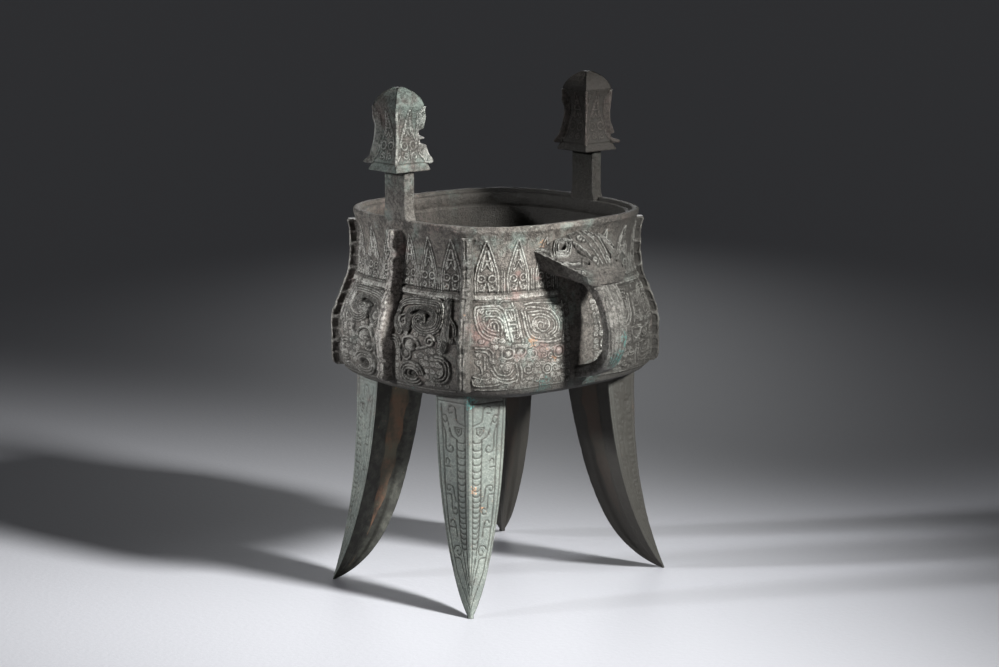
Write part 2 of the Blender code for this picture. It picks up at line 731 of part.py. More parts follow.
def make_vessel():
    vessel = make_bowl()
    vessel.name = "jia_vessel"
    corners = [(sx, sy) for sx in (-1, 1) for sy in (-1, 1)]
    parts = [make_leg(corner) for corner in corners]
    for sx, sy in corners:
        angle = math.atan2(sy * math.sin(CORNER_ANGLE), sx * math.cos(CORNER_ANGLE))
        parts.append(make_flange("corner", angle))
    parts += [make_flange("side", angle) for angle in (0, math.pi / 2, math.pi)]
    parts.append(make_handle())
    parts += make_relief()
    combine(vessel, parts, "UNION")
    combine(vessel, [make_cavity()], "DIFFERENCE")
    combine(vessel, [make_post(-1), make_post(1)], "UNION")
    centre_in_depth(vessel)
    vessel.data.materials.clear()
    vessel.data.materials.append(bronze())
    vessel.data.set_sharp_from_angle(angle=math.radians(35))
    return vessel


def main():
    for existing in list(bpy.data.objects):
        bpy.data.objects.remove(existing)
    make_vessel()


main()
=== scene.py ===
"""A square bronze jia: a footed wine vessel with two capped posts, a handle and cast masks."""

import itertools
import math

import bpy
import numpy as np
from bpy.props import FloatProperty, FloatVectorProperty, PointerProperty
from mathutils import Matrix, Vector


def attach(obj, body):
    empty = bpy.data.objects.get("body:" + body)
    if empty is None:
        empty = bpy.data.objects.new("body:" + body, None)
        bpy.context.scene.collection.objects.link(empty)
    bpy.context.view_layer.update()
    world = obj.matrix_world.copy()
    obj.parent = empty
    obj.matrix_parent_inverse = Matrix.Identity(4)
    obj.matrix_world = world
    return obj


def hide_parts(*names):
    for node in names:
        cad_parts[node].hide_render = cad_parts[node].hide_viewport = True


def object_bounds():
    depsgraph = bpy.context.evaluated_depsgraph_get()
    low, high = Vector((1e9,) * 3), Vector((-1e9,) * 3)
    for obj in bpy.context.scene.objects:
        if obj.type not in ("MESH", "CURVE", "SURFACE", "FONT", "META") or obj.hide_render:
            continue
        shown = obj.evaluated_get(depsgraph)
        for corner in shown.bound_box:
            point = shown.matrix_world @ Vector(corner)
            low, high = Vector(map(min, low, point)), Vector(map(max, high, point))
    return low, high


bl_info = {
    "name": "Square bronze jia",
    "version": (1, 0, 0),
    "blender": (4, 5, 0),
    "location": "3D View > Sidebar > Jia",
    "description": "Builds a footed square wine vessel of old bronze, its finish and its stage",
    "category": "Add Mesh",
}

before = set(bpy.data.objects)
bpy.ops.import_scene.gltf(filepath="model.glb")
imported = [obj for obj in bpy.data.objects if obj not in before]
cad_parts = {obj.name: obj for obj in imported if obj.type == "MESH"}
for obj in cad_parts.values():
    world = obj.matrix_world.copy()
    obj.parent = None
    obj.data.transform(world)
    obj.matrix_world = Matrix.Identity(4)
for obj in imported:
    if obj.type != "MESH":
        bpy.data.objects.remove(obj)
CAD_LOW, CAD_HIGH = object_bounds()
NODE = "jia_vessel"


def length(name, description, default):
    return FloatProperty(name=name, description=description, default=default, unit="LENGTH", precision=4)


def number(name, description, default):
    return FloatProperty(name=name, description=description, default=default, precision=3)


def colour(name, description, default):
    return FloatVectorProperty(name=name, description=description, default=default, subtype="COLOR",
                               min=0.0, max=1.0)


class BowlSizes(bpy.types.PropertyGroup):
    """Sizes of the vessel's body."""

    low_z: length("Foot height", "Height of the bowl's lower edge above the floor", 0.1783)
    height: length("Bowl height", "From the bowl's lower edge to its rim", 0.1359)
    mouth_width: length("Mouth width", "Width over the lip, from post to post", 0.2134)
    mouth_depth: length("Mouth depth", "Depth over the lip, towards the handle", 0.2100)
    neck_width: length("Neck width", "Width of the narrow neck", 0.2060)
    neck_depth: length("Neck depth", "Depth of the narrow neck", 0.1930)
    belly_width: length("Belly width", "Width of the swelling belly", 0.2310)
    belly_depth: length("Belly depth", "Depth of the swelling belly", 0.2120)
    wall: length("Wall", "Thickness of the cast wall", 0.0045)
    lip_edge: length("Lip edge", "Height of the upright edge of the lip", 0.0042)
    lip_flare: length("Lip flare", "Height over which the lip flares out", 0.0190)
    edge_round: length("Lower edge height", "Height of the rounded lower edge", 0.0150)
    edge_inset: length("Lower edge inset", "How far the lower edge is drawn in", 0.0040)
    drop: length("Underside drop", "How far the underside sags below the edge", 0.0080)
    rim_flat: length("Rim width", "Width of the flat top of the rim", 0.0050)
    rim_step: length("Rim step", "Drop from the rim to the ledge inside it", 0.0028)
    ledge: length("Ledge", "Width of the ledge inside the rim", 0.0048)
    collar: length("Collar", "Height of the thick collar under the ledge", 0.0095)
    side_flange: length("Side flange", "How far the side flanges stand out", 0.0106)
    corner_flange: length("Corner flange", "How far the corner flanges stand out", 0.0078)
    flange: length("Flange thickness", "Thickness of a flange", 0.0098)
    flange_foot: length("Flange foot", "Start of the flanges above the lower edge", 0.0050)
    flange_clear: length("Flange top", "Gap between the flanges and the rim", 0.0088)


class LegSizes(bpy.types.PropertyGroup):
    """Sizes of the four blade legs."""

    spread: length("Edge spread", "Half the width of a leg at its top", 0.0286)
    blade: length("Blade depth", "Depth of a leg at its top, from ridge to inner edge", 0.0590)
    knee: length("Knee depth", "Depth of a leg low down", 0.0310)
    tip: length("Tip", "Size of the point a leg stands on", 0.0026)
    splay: number("Splay", "Power of the curve by which the legs splay", 2.6)
    recess: length("Core recess", "How far the clay core lies below the inner faces", 0.0022)


class PostSizes(bpy.types.PropertyGroup):
    """Sizes of the two capped posts."""

    reach: length("Post reach", "From the vessel's axis to a post", 0.1028)
    stem: length("Stem height", "From the rim to the cap", 0.0394)
    across: length("Stem width", "Width of a stem along the rim", 0.0266)
    through: length("Stem depth", "Depth of a stem", 0.0105)
    cap: length("Cap height", "Height of a cap", 0.0665)
    base: length("Cap base", "Width of a cap at its foot", 0.0374)
    waist: length("Cap waist", "Width of a cap at its waist", 0.0222)
    shoulder: length("Cap shoulder", "Width of a cap under its top", 0.0306)
    waist_z: length("Waist height", "Height of the waist above the cap's foot", 0.0310)
    shoulder_z: length("Shoulder height", "Height of the shoulder above the cap's foot", 0.0520)
    ridge: length("Ridge depth", "How far the corner ridges stand out", 0.0042)


class HandleSizes(bpy.types.PropertyGroup):
    """Sizes of the handle and its animal head."""

    width: length("Strap width", "Width of the strap at its top", 0.0250)
    low_width: length("Strap foot width", "Width of the strap at its foot", 0.0160)
    thickness: length("Strap thickness", "Thickness of the handle's strap", 0.0105)
    reach: length("Strap reach", "From the vessel's axis to the outside of the strap", 0.1500)
    top_z: length("Strap top", "Height at which the strap leaves the neck", 0.2690)
    low_z: length("Strap foot", "Height at which the strap meets the belly", 0.1905)
    head_half: length("Head half width", "Half the width of the head at the wall", 0.0450)
    nose_half: length("Muzzle half width", "Half the width of the head's muzzle", 0.0215)
    head_top: length("Head top", "Height of the head's top at the wall", 0.3062)
    head_reach: length("Head reach", "From the vessel's axis to the muzzle's front", 0.1345)


class ReliefSizes(bpy.types.PropertyGroup):
    """Fineness and depth of the cast relief."""

    near: length("Fine step", "Mesh step on the richest sides", 0.00058)
    far: length("Plain step", "Mesh step on the other sides", 0.00100)
    thread: length("Thread rise", "Height of the raised threads", 0.00090)
    form: length("Form rise", "Height of the raised forms", 0.0014)
    cut: length("Cut depth", "Depth of the cut lines", 0.00080)
    pitting: length("Pitting", "Depth of the corroded surface", 0.00040)


class PatinaColours(bpy.types.PropertyGroup):
    """Colours of the old bronze."""

    ground: colour("Ground", "Grey brown ground of the patina", (0.146, 0.120, 0.100))
    green: colour("Grey green", "Smooth grey green patina", (0.160, 0.205, 0.176))
    worn: colour("Worn", "Pale worn ridges", (0.620, 0.605, 0.550))
    soil: colour("Soil", "Dark soil in the cut lines", (0.020, 0.017, 0.013))
    cuprite: colour("Cuprite", "Pinkish red patches", (0.190, 0.088, 0.076))
    malachite: colour("Malachite", "Blue green patches", (0.060, 0.170, 0.150))
    ochre: colour("Ochre", "Orange earth spots", (0.430, 0.210, 0.100))
    clay: colour("Clay core", "Fired clay core in the legs", (0.150, 0.078, 0.044))


class StageSettings(bpy.types.PropertyGroup):
    """The floor, lights and camera."""

    floor: colour("Floor", "Pale floor", (0.34, 0.335, 0.355))
    key: number("Key light", "Power of the key light in watts", 7.6)
    fill: number("Fill light", "Power of the fill light in watts", 0.50)
    back: number("Back light", "Power of the weak light behind, in watts", 0.8)
    sky: number("Surroundings", "Strength of the even light around", 0.07)
    turn: number("Camera turn", "Angle of the camera from the vessel's front, in degrees", 41.2)
    rise: number("Camera rise", "Angle of the camera above the floor, in degrees", 10.8)
    distance: length("Camera distance", "From the camera to the vessel", 2.3436)
    lens: number("Lens", "Focal length in millimetres", 100.9)


GROUPS = {
    "jia_bowl": BowlSizes, "jia_legs": LegSizes, "jia_posts": PostSizes, "jia_handle": HandleSizes,
    "jia_relief": ReliefSizes, "jia_patina": PatinaColours, "jia_stage": StageSettings,
}
CORNER_TURN = math.radians(37.6)
SIDES = {"right": 0.0, "back": math.pi / 2, "left": math.pi, "front": -math.pi / 2}
NARROW_SIDES = ("left", "right")
MM = 1000.0
# How far inside the solid's box all points stay
BOX_GAP = 0.00002


def blend(a, b, share):
    return a + (b - a) * share


def clamp(value, low=0.0, high=1.0):
    return np.minimum(np.maximum(value, low), high)


def smooth_step(start, end, value):
    share = clamp((value - start) / (end - start))
    return share * share * (3 - 2 * share)


def whole_turn(steps):
    """Angles once round, without the last one, which is the first again."""
    return np.linspace(0, 2 * math.pi, steps, endpoint=False)


def squarish(c, s, power):
    """How far an outline reaches at an angle's cosine and sine: round at power 2 and squarer above it."""
    return (np.abs(c) ** power + np.abs(s) ** power) ** (-1 / power)


# Random values that lumps and worn spots take their turns from
LATTICE = np.random.default_rng(7).uniform(-1, 1, 4096)
LAST = len(LATTICE) - 1
STRIDES = np.array([73856093, 19349663, 83492791])


def lumps(points, cell, seed=0):
    """Smooth lumps from -1 to 1 at points in metres, cell metres apart."""
    spot = np.asarray(points, float) / cell
    corner = np.floor(spot).astype(np.int64)
    part = spot - corner
    part = part * part * (3 - 2 * part)
    total = 0.0
    for step in itertools.product((0, 1), repeat=3):
        key = (corner + np.array(step)) @ STRIDES
        weight = np.prod(np.where(np.array(step) == 1, part, 1 - part), axis=-1)
        total = total + weight * LATTICE[(key + seed * 977) & LAST]
    return total


def corroded(points, depth):
    """The pitted, lumpy surface of buried bronze, as metres of lift."""
    broad = lumps(points, 0.013, 1) + 0.6 * lumps(points, 0.006, 2)
    fine = lumps(points, 0.0027, 3) + 0.7 * lumps(points, 0.0013, 4)
    pits = clamp(lumps(points, 0.0042, 5) - 0.45) * 2
    return depth * (0.75 * broad + 0.35 * fine - 1.1 * pits)


class Drawing:
    """A sheet of across and up distances in millimetres, on which forms are raised and lines are cut."""

    def __init__(self, across, up):
        self.across, self.up = np.asarray(across), np.asarray(up)
        shape = (len(self.up), len(self.across))
        self.form, self.thread, self.cut = np.zeros(shape), np.zeros(shape), np.zeros(shape)

    def distance(self, points, reach):
        """The part of the sheet within reach of a line, and how far each point there is from it."""
        points = np.asarray(points, float)
        low, high = points.min(0) - reach, points.max(0) + reach
        left, right = np.searchsorted(self.across, (low[0], high[0]))
        under, over = np.searchsorted(self.up, (low[1], high[1]))
        x, y = self.across[None, left:right], self.up[under:over, None]
        nearest = np.full((over - under, right - left), 1e9)
        for (ax, ay), (bx, by) in zip(points[:-1], points[1:]):
            dx, dy = bx - ax, by - ay
            along = clamp(((x - ax) * dx + (y - ay) * dy) / (dx * dx + dy * dy + 1e-9))
            nearest = np.minimum(nearest, (x - ax - along * dx) ** 2 + (y - ay - along * dy) ** 2)
        return (slice(under, over), slice(left, right)), np.sqrt(nearest)

    def _put(self, layer, points, width, amount, soft):
        place, apart = self.distance(points, width / 2 + soft)
        profile = smooth_step(width / 2 + soft / 2, width / 2 - soft / 2, apart)
        layer[place] = np.maximum(layer[place], profile * amount)
        return place, apart

    def ridge(self, points, width=1.15, amount=1.0):
        self._put(self.thread, points, width, amount, 0.55)

    def groove(self, points, width=0.8, amount=1.0):
        self._put(self.cut, points, width, amount, 0.5)

    def band(self, points, width, amount=1.0, grooves=(), soft=1.0):
        """A raised band, with lines cut along it at distances from its middle."""
        place, apart = self._put(self.form, points, width, amount, soft)
        for away in grooves:
            profile = smooth_step(0.80, 0.25, np.abs(apart - away))
            self.cut[place] = np.maximum(self.cut[place], profile)

    def boss(self, x, y, radius, amount=1.0):
        """A raised dome."""
        place, apart = self.distance(((x, y), (x, y)), radius)
        dome = np.sqrt(clamp(1 - (apart / radius) ** 2)) * amount
        self.form[place] = np.maximum(self.form[place], dome)

    def notches(self, line, away, every):
        """Small cuts side by side, at a distance beside a line."""
        run = 0.0
        for before, after in zip(line, line[1:]):
            step = math.hypot(*(after - before))
            run += step
            if run >= every and step > 0:
                run = 0.0
                aside = np.array([before[1] - after[1], after[0] - before[0]]) / step
                self.groove((before + aside * (away - 0.8), before + aside * (away + 0.5)), 0.9)

    def under(self, place):
        """All rows, and the columns nearest to distances from the sheet's middle."""
        half, last = self.across[-1], len(self.across) - 1
        columns = ((place + half) / (2 * half) * last).round().astype(int)
        return np.arange(len(self.up))[:, None], np.clip(columns, 0, last)

    def shade_beside_raised(self):
        """Painted shade: darkness on the ground close beside whatever is raised, as if the raised forms
        shaded it.
        """
        body = np.maximum(self.thread, clamp(self.form))
        near = body.copy()
        reach = max(int(1.3 / (self.across[1] - self.across[0])), 1)
        for _ in range(reach):
            wide = near.copy()
            wide[:, 1:] = np.maximum(wide[:, 1:], near[:, :-1])
            wide[:, :-1] = np.maximum(wide[:, :-1], near[:, 1:])
            wide[1:] = np.maximum(wide[1:], near[:-1])
            wide[:-1] = np.maximum(wide[:-1], near[1:])
            near = wide
        return clamp(near - 1.6 * body) * 0.85

    def ring(self, x, y, radius, width=1.1, power=2.0, tall=1.0, dot=True):
        """A raised ring, with a dot at its middle unless it is left out."""
        self.ridge(curl(x, y, radius, radius * tall, 1.0, 0.0, power, 1.0), width)
        if dot:
            self.ridge(((x, y), (x + 0.01, y)), width * 1.1)


def curl(x, y, wide, tall, turns, start=0.0, power=2.0, inner=0.2, steps=18, sign=1):
    """A spiral about a spot, from its outside inward: round at power 2 and squarer above it."""
    share = np.linspace(0, 1, max(int(steps * abs(turns)), 4) + 1)
    angle = 2 * math.pi * (start + sign * turns * share)
    size = blend(1.0, inner, share)
    c, s = np.cos(angle), np.sin(angle)
    square = squarish(c, s, power)
    return np.stack([x + wide * size * square * c, y + tall * size * square * s], -1)


def arcs(x, y, wide, tall, count, pitch, start, end, power=2.0):
    """Concentric open lines about a spot, from the outermost inward."""
    lines = []
    for place in range(count):
        w, t = wide - pitch * place, tall - pitch * place
        if min(w, t) < 0.8:
            break
        angle = 2 * math.pi * np.linspace(start, end, 26)
        c, s = np.cos(angle), np.sin(angle)
        square = squarish(c, s, power)
        lines.append(np.stack([x + w * square * c, y + t * square * s], -1))
    return lines


def bend(points, steps=6):
    """A smooth line through a few points."""
    points = np.asarray(points, float)
    ends = np.vstack([2 * points[0] - points[1], points, 2 * points[-1] - points[-2]])
    line = []
    for a, b, c, d in zip(ends, ends[1:], ends[2:], ends[3:]):
        for t in np.linspace(0, 1, steps, endpoint=False):
            line.append(0.5 * (2 * b + (c - a) * t + (2 * a - 5 * b + 4 * c - d) * t * t
                               + (3 * b - a - 3 * c + d) * t ** 3))
    line.append(points[-1])
    return np.array(line)


class Bowl:
    """The outside of the vessel's body, from its sizes."""

    def __init__(self, sizes):
        self.sizes = sizes
        self.low, self.rim = sizes.low_z, sizes.low_z + sizes.height
        self.mean = (sizes.belly_width + sizes.belly_depth) / 4
        self.axis_y = CAD_HIGH.y - sizes.belly_depth / 2 - sizes.side_flange

    def outside(self, z):
        """Half the width, half the depth and the squareness of the outline at a height."""
        one = self.sizes
        z = np.asarray(z, float)
        share = (z - self.low) / one.height
        swell = 1 - smooth_step(0.30, 0.70, share)
        flare = clamp((z - (self.rim - one.lip_edge - one.lip_flare)) / one.lip_flare) ** 1.8
        drop = clamp((self.low + one.edge_round - z) / one.edge_round)
        tuck = 1 - np.sqrt(1 - drop * drop)
        half_x = blend(blend(one.neck_width, one.belly_width, swell), one.mouth_width, flare) / 2
        half_y = blend(blend(one.neck_depth, one.belly_depth, swell), one.mouth_depth, flare) / 2
        power = blend(blend(blend(3.20, 3.60, swell), 2.95, flare), 2.80, tuck)
        return half_x - one.edge_inset * tuck, half_y - one.edge_inset * tuck, power

    def radius(self, z, angle, inset=0.0):
        """From the axis to the outline at a height, or to that outline drawn in."""
        half_x, half_y, power = self.outside(z)
        return squarish(np.cos(angle) / (half_x - inset), np.sin(angle) / (half_y - inset), power)

    def point(self, z, angle, lift=0.0, inset=0.0, level=None):
        """Points at a height, on its own outline or on that of another level."""
        r = self.radius(z if level is None else level, angle, inset) + lift
        z = np.broadcast_to(z, np.broadcast(r, z).shape)
        return np.stack([r * np.cos(angle), r * np.sin(angle) + self.axis_y, z], -1)

    def rings(self, stations, angle):
        """Rows of points from stations: a height, an inset, and the level whose outline is taken."""
        rows = [self.point(np.array([[z]]), angle, 0.0, inset, level) for z, inset, level in stations]
        return np.vstack(rows)


def drawn_in(row, keep):
    """A row drawn towards its middle, which closes a sheet's end."""
    middle = row.mean(axis=0)
    return (middle + (row - middle) * keep)[None]


def with_ends(layer):
    """A layer with its first and last rows again, for the rows that close a sheet."""
    return np.vstack([layer[:1], layer, layer[-1:]])


def spaced(corners, counts):
    """Points along a line of corners, so many to each run of it, as a row of outs and a row of asides."""
    runs = [blend(np.array(start), np.array(end), np.linspace(0, 1, count, endpoint=False)[:, None])
            for start, end, count in zip(corners, corners[1:], counts)]
    return np.vstack([*runs, corners[-1:]]).T[:, None]


def mirrored(points, sign):
    """A line of spots on one side of a middle line, or on the other."""
    return [(sign * x, y) for x, y in points]


def eased_away(points, lift, level=False):
    """Points moved outward from the middle of their own row, keeping their height if level."""
    away = points - points.mean(axis=1, keepdims=True)
    if level:
        away[..., 2] = 0
    away /= np.maximum(np.linalg.norm(away, axis=-1, keepdims=True), 1e-6)
    return points + away * lift[..., None]


def sheet_faces(rows, columns, closed=False, flip=False):
    """The four-cornered faces between a sheet's rows and columns."""
    index = np.arange(rows * columns).reshape(rows, columns)
    if closed:
        index = np.hstack([index, index[:, :1]])
    corners = [index[:-1, :-1], index[:-1, 1:], index[1:, 1:], index[1:, :-1]]
    if flip:
        corners.reverse()
    return np.stack(corners, -1).reshape(-1, 4)


def make_piece(name, sheets, material):
    """One mesh from sheets of points with their raised and cut amounts, riding on the vessel's body."""
    points, faces, raised, cut, count = [], [], [], [], 0
    for one in sheets:
        rows, columns = one["points"].shape[:2]
        points.append(one["points"].reshape(-1, 3))
        faces.append(sheet_faces(rows, columns, one.get("closed", False), one.get("flip", False)) + count)
        for store, key in ((raised, "raised"), (cut, "cut")):
            store.append(np.broadcast_to(one.get(key, 0.0), (rows, columns)).reshape(-1))
        count += rows * columns
    points = np.vstack(points)
    points = clamp(points, np.array(CAD_LOW) + BOX_GAP, np.array(CAD_HIGH) - BOX_GAP)
    mesh = bpy.data.meshes.new(name)
    mesh.from_pydata(points, [], np.vstack(faces))
    for key, store in (("raised", raised), ("cut", cut)):
        layer = mesh.attributes.new(key, "FLOAT", "POINT")
        layer.data.foreach_set("value", np.concatenate(store).astype(np.float32))
    mesh.shade_smooth()
    mesh.materials.append(material)
    piece = bpy.data.objects.new(name, mesh)
    bpy.context.collection.objects.link(piece)
    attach(piece, "root")
    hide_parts(NODE)
    return piece


class Term:
    """A socket's value, on which sums and products add their own nodes."""

    def __init__(self, shading, socket):
        self.shading, self.socket = shading, socket

    def _math(self, operation, first, second=0.0):
        made = self.shading.node("ShaderNodeMath", {"operation": operation}, {0: first, 1: second})
        return Term(self.shading, made.outputs[0])

    def __add__(self, other):
        return self._math("ADD", self, other)

    def __sub__(self, other):
        return self._math("SUBTRACT", self, other)

    def __rsub__(self, other):
        return self._math("SUBTRACT", other, self)

    def __mul__(self, other):
        return self._math("MULTIPLY", self, other)

    __radd__, __rmul__ = __add__, __mul__

    def over(self, low, high):
        """0 below low and 1 above high, eased between."""
        made = self.shading.node("ShaderNodeMapRange", {"interpolation_type": "SMOOTHSTEP"},
                                 {"Value": self, "From Min": low, "From Max": high})
        return Term(self.shading, made.outputs[0])

    def most(self, other):
        return self._math("MAXIMUM", self, other)


class Shading:
    """One material's nodes."""

    def __init__(self, name):
        self.material = bpy.data.materials.new(name)
        self.material.use_nodes = True
        self.tree = self.material.node_tree
        self.shader = self.tree.nodes["Principled BSDF"]
        self.place = self.node("ShaderNodeTexCoord").outputs["Object"]

    def give(self, socket, value):
        """Link a value to a socket, or set it there when it is the same all over."""
        value = value.socket if isinstance(value, Term) else value
        if isinstance(value, bpy.types.NodeSocket):
            self.tree.links.new(value, socket)
        else:
            socket.default_value = value

    def node(self, kind, settings=None, values=None):
        made = self.tree.nodes.new(kind)
        for key, value in (settings or {}).items():
            setattr(made, key, value)
        for key, value in (values or {}).items():
            self.give(made.inputs[key], value)
        return made

    def noise(self, scale, detail=4.0, roughness=0.6, stretch=None):
        place = self.place
        if stretch:
            stretched = self.node("ShaderNodeVectorMath", {"operation": "MULTIPLY"}, {0: place, 1: stretch})
            place = stretched.outputs[0]
        values = {"Vector": place, "Scale": scale, "Detail": detail, "Roughness": roughness}
        return Term(self, self.node("ShaderNodeTexNoise", {}, values).outputs["Fac"])

    def marked(self, name):
        """What the mesh says of itself at each point: raised, cut or clay."""
        return Term(self, self.node("ShaderNodeAttribute", {"attribute_name": name}).outputs["Fac"])

    def along(self, axis):
        return Term(self, self.node("ShaderNodeSeparateXYZ", {}, {0: self.place}).outputs[axis])

    def near(self, spot, radius):
        """1 at a spot, eased to 0 at a radius from it."""
        apart = self.node("ShaderNodeVectorMath", {"operation": "DISTANCE"}, {0: self.place, 1: spot})
        return Term(self, apart.outputs["Value"]).over(radius, radius * 0.25)

    def mix(self, first, second, share):
        """The second colour over the first; a colour is a socket or three numbers."""
        first, second = [c if isinstance(c, bpy.types.NodeSocket) else (*c, 1.0) for c in (first, second)]
        return self.node("ShaderNodeMix", {"data_type": "RGBA"}, {0: share, 6: first, 7: second}).outputs[2]

    def bump(self, height, distance, strength=1.0, below=None):
        values = {"Height": height, "Distance": distance, "Strength": strength}
        if below:
            values["Normal"] = below
        return self.node("ShaderNodeBump", {}, values).outputs[0]

    def finish(self, **values):
        for key, value in values.items():
            self.give(self.shader.inputs[key.replace("_", " ")], value)
        return self.material


# Patches of the old surface: where they lie, in metres, and how wide they are
CUPRITE_SPOTS = (
    ((-0.066, -0.084, 0.262), 0.024), ((-0.040, -0.088, 0.264), 0.022), ((-0.090, -0.074, 0.232), 0.022),
    ((-0.064, -0.086, 0.214), 0.012), ((-0.040, -0.088, 0.214), 0.020), ((-0.026, -0.089, 0.212), 0.012),
    ((-0.058, -0.082, 0.272), 0.014), ((-0.1, 0.016, 0.290), 0.020), ((0.092, -0.070, 0.215), 0.016),
)
MALACHITE_SPOTS = (
    ((0.008, -0.128, 0.222), 0.014), ((0.004, -0.126, 0.207), 0.018), ((-0.108, -0.012, 0.184), 0.012),
    ((-0.040, -0.084, 0.183), 0.018), ((0.010, -0.090, 0.184), 0.022), ((-0.092, -0.058, 0.172), 0.012),
)
OCHRE_SPOTS = (
    ((-0.098, -0.062, 0.300), 0.007), ((-0.103, -0.069, 0.247), 0.009), ((-0.052, -0.088, 0.222), 0.008),
    ((-0.030, -0.090, 0.206), 0.006), ((-0.035, -0.082, 0.298), 0.006), ((0.098, -0.060, 0.140), 0.020),
    ((-0.090, -0.062, 0.100), 0.008), ((-0.084, -0.064, 0.085), 0.006), ((-0.112, -0.016, 0.365), 0.005),
)


# How the bronzes differ: share of green in the ground, depth of the grain, soil in the cut lines and painted
# shade beside raised forms, paleness of the worn ridges, soil between the grains, lightness, and how far it
# all turns to cuprite red
BRONZES = {
    "bronze_wide_sides": (0.5, 1.0, 0.9, 0.72, 0.2, 1.0, 0.0),
    # painted shade and highlight: darker ground and paler ridges for the narrow sides, out of the main light
    "bronze_narrow_sides_painted_shade_highlight": (0.4, 1.2, 0.98, 0.95, 0.7, 0.95, 0.0),
    # painted shade: a darker copy for the half of the front beyond the handle, its raised lines kept pale
    "bronze_painted_shade_by_handle": (0.5, 1.5, 1.0, 1.0, 0.9, 0.95, 0.0),
    "bronze_rim": (0.35, 1.0, 0.75, 0.5, 0.2, 0.6, 0.0),
    "bronze_inside": (0.35, 1.2, 0.75, 0.25, 0.6, 0.5, 0.0),
    "bronze_flanges": (0.4, 1.1, 0.75, 0.6, 0.0, 0.75, 0.0),
    "bronze_worn_flange": (0.3, 1.6, 0.85, 0.34, 0.8, 0.66, 0.0),
    # rosy, and lighter all over as painted light for the left flange's lit edge
    "bronze_left_flange_rosy_painted_light": (0.4, 1.7, 0.9, 1.0, 0.5, 1.18, 0.22),
    "bronze_stems": (0.55, 1.2, 0.8, 0.5, 0.2, 0.62, 0.0),
    "bronze_cap_left": (0.65, 0.9, 0.8, 0.75, 0.0, 0.66, 0.0),
    "bronze_cap_right": (0.3, 0.9, 0.8, 0.5, 0.3, 0.62, 0.4),
    "bronze_handle": (0.45, 1.5, 0.98, 0.92, 0.75, 0.54, 0.0),
}


def patches_and_right_shade(shading, tone, patina, fine, coarse, kept=0.0):
    """Lay cuprite, malachite and earth spots over a tone, broken up by the grain, then painted shade to the
    right.
    """
    for spots, tint, spread, most in ((CUPRITE_SPOTS, patina.cuprite, coarse, 0.46),
                                      (MALACHITE_SPOTS, patina.malachite, fine, 1.0),
                                      (OCHRE_SPOTS, patina.ochre, fine, 0.75)):
        close = None
        for spot, radius in spots:
            one = shading.near(spot, radius)
            close = one if close is None else close.most(one)
        tone = shading.mix(tone, tint, (close * 0.24 + spread).over(0.68, 0.78) * most)
    # grains of earth here and there, and painted shade that darkens everything towards the right, where the
    # light falls off; raised lines keep part of their paleness through it
    tone = shading.mix(tone, patina.ochre, (fine * 0.55 + coarse * 0.45).over(0.635, 0.67) * 0.6)
    return shading.mix(tone, patina.soil, shading.along("X").over(-0.010, 0.080) * (0.94 - kept * 0.4))


def rough_skin(shading, mottle, grain, speck, deep, fine):
    """Bumps of corrosion, the fine specks over the deeper grain."""
    broad = shading.bump(mottle * 0.5 + grain * 0.5, deep)
    return shading.bump(speck, fine, 1.0, broad)


def old_bronze(name, patina):
    """Patinated bronze: grey green over grey brown, worn pale on its ridges, with soil in its lines."""
    ground, fine, soil, pale, dark, light, red = BRONZES[name]
    shading = Shading(name)
    raised, cut = shading.marked("raised"), shading.marked("cut")
    cloud, mottle = shading.noise(24.0, 6.0, 0.62), shading.noise(95.0, 5.0, 0.65)
    grain, speck = shading.noise(420.0, 4.0, 0.7), shading.noise(1400.0, 2.0, 0.6)
    earth, sage, worn = [tuple(light * blend(a, b, red) for a, b in zip(colour, patina.cuprite))
                         for colour in (patina.ground, patina.green, patina.worn)]
    start = 0.62 - 0.24 * ground
    tone = shading.mix(earth, sage, (cloud * 0.7 + mottle * 0.3).over(start, start + 0.16))
    # broad clouds of dusky red and of blue green
    rosy, bluish = shading.noise(17.0, 5.0, 0.65), shading.noise(31.0, 5.0, 0.65, (1.0, 1.3, 0.8))
    clouds = ((patina.cuprite, rosy, 0.53, 0.50), (patina.malachite, bluish, 0.55, 0.40))
    for tint, broad, low, share in clouds:
        tint = tuple(light * part for part in tint)
        tone = shading.mix(tone, tint, (broad * 0.7 + grain * 0.3).over(low, low + 0.11) * share)
    shade = (mottle * 0.4 + grain * 0.35 + speck * 0.25).over(0.41, 0.58)
    tone = shading.mix(patina.soil, tone, shade * 0.76 + (0.24 - dark * 0.20))
    chalk = (grain * 0.5 + mottle * 0.3 + speck * 0.2).over(0.44, 0.57)
    tone = shading.mix(tone, worn, (raised * pale + 0.10 * pale) * (chalk * 0.84 + 0.16))
    # the spots, and painted shade towards the right, which raised lines partly escape
    tone = patches_and_right_shade(shading, tone, patina, grain, mottle, raised)
    # painted shade: darker towards the bowl's lower edge, where the light falls off, and on its underside
    z = shading.along("Z")
    tone = shading.mix(tone, patina.soil, 0.82 - z.over(0.182, 0.193) * 0.40 - z.over(0.186, 0.236) * 0.42)
    # soil in the cut lines, and the painted shade beside raised forms that the cut amount also holds
    tone = shading.mix(tone, patina.soil, (cut * soil) * (1.15 - speck * 0.4))
    rough = 0.64 - raised * 0.24 - chalk * 0.08 + cut * 0.26
    bumps = rough_skin(shading, mottle, grain, speck, fine * 0.0026, fine * 0.0010)
    return shading.finish(Base_Color=tone, Roughness=rough, Metallic=0.12 + raised * 0.32, Normal=bumps)


# A leaf's two lines, as shares of its half width and of its height
LEAF_OUTER = ((0.90, 0.0), (0.96, 0.24), (0.88, 0.40), (0.55, 0.66), (0.22, 0.88), (0.02, 1.0))
LEAF_INNER = ((0.92, 0.03), (0.98, 0.24), (0.86, 0.42), (0.56, 0.64), (0.34, 0.80))


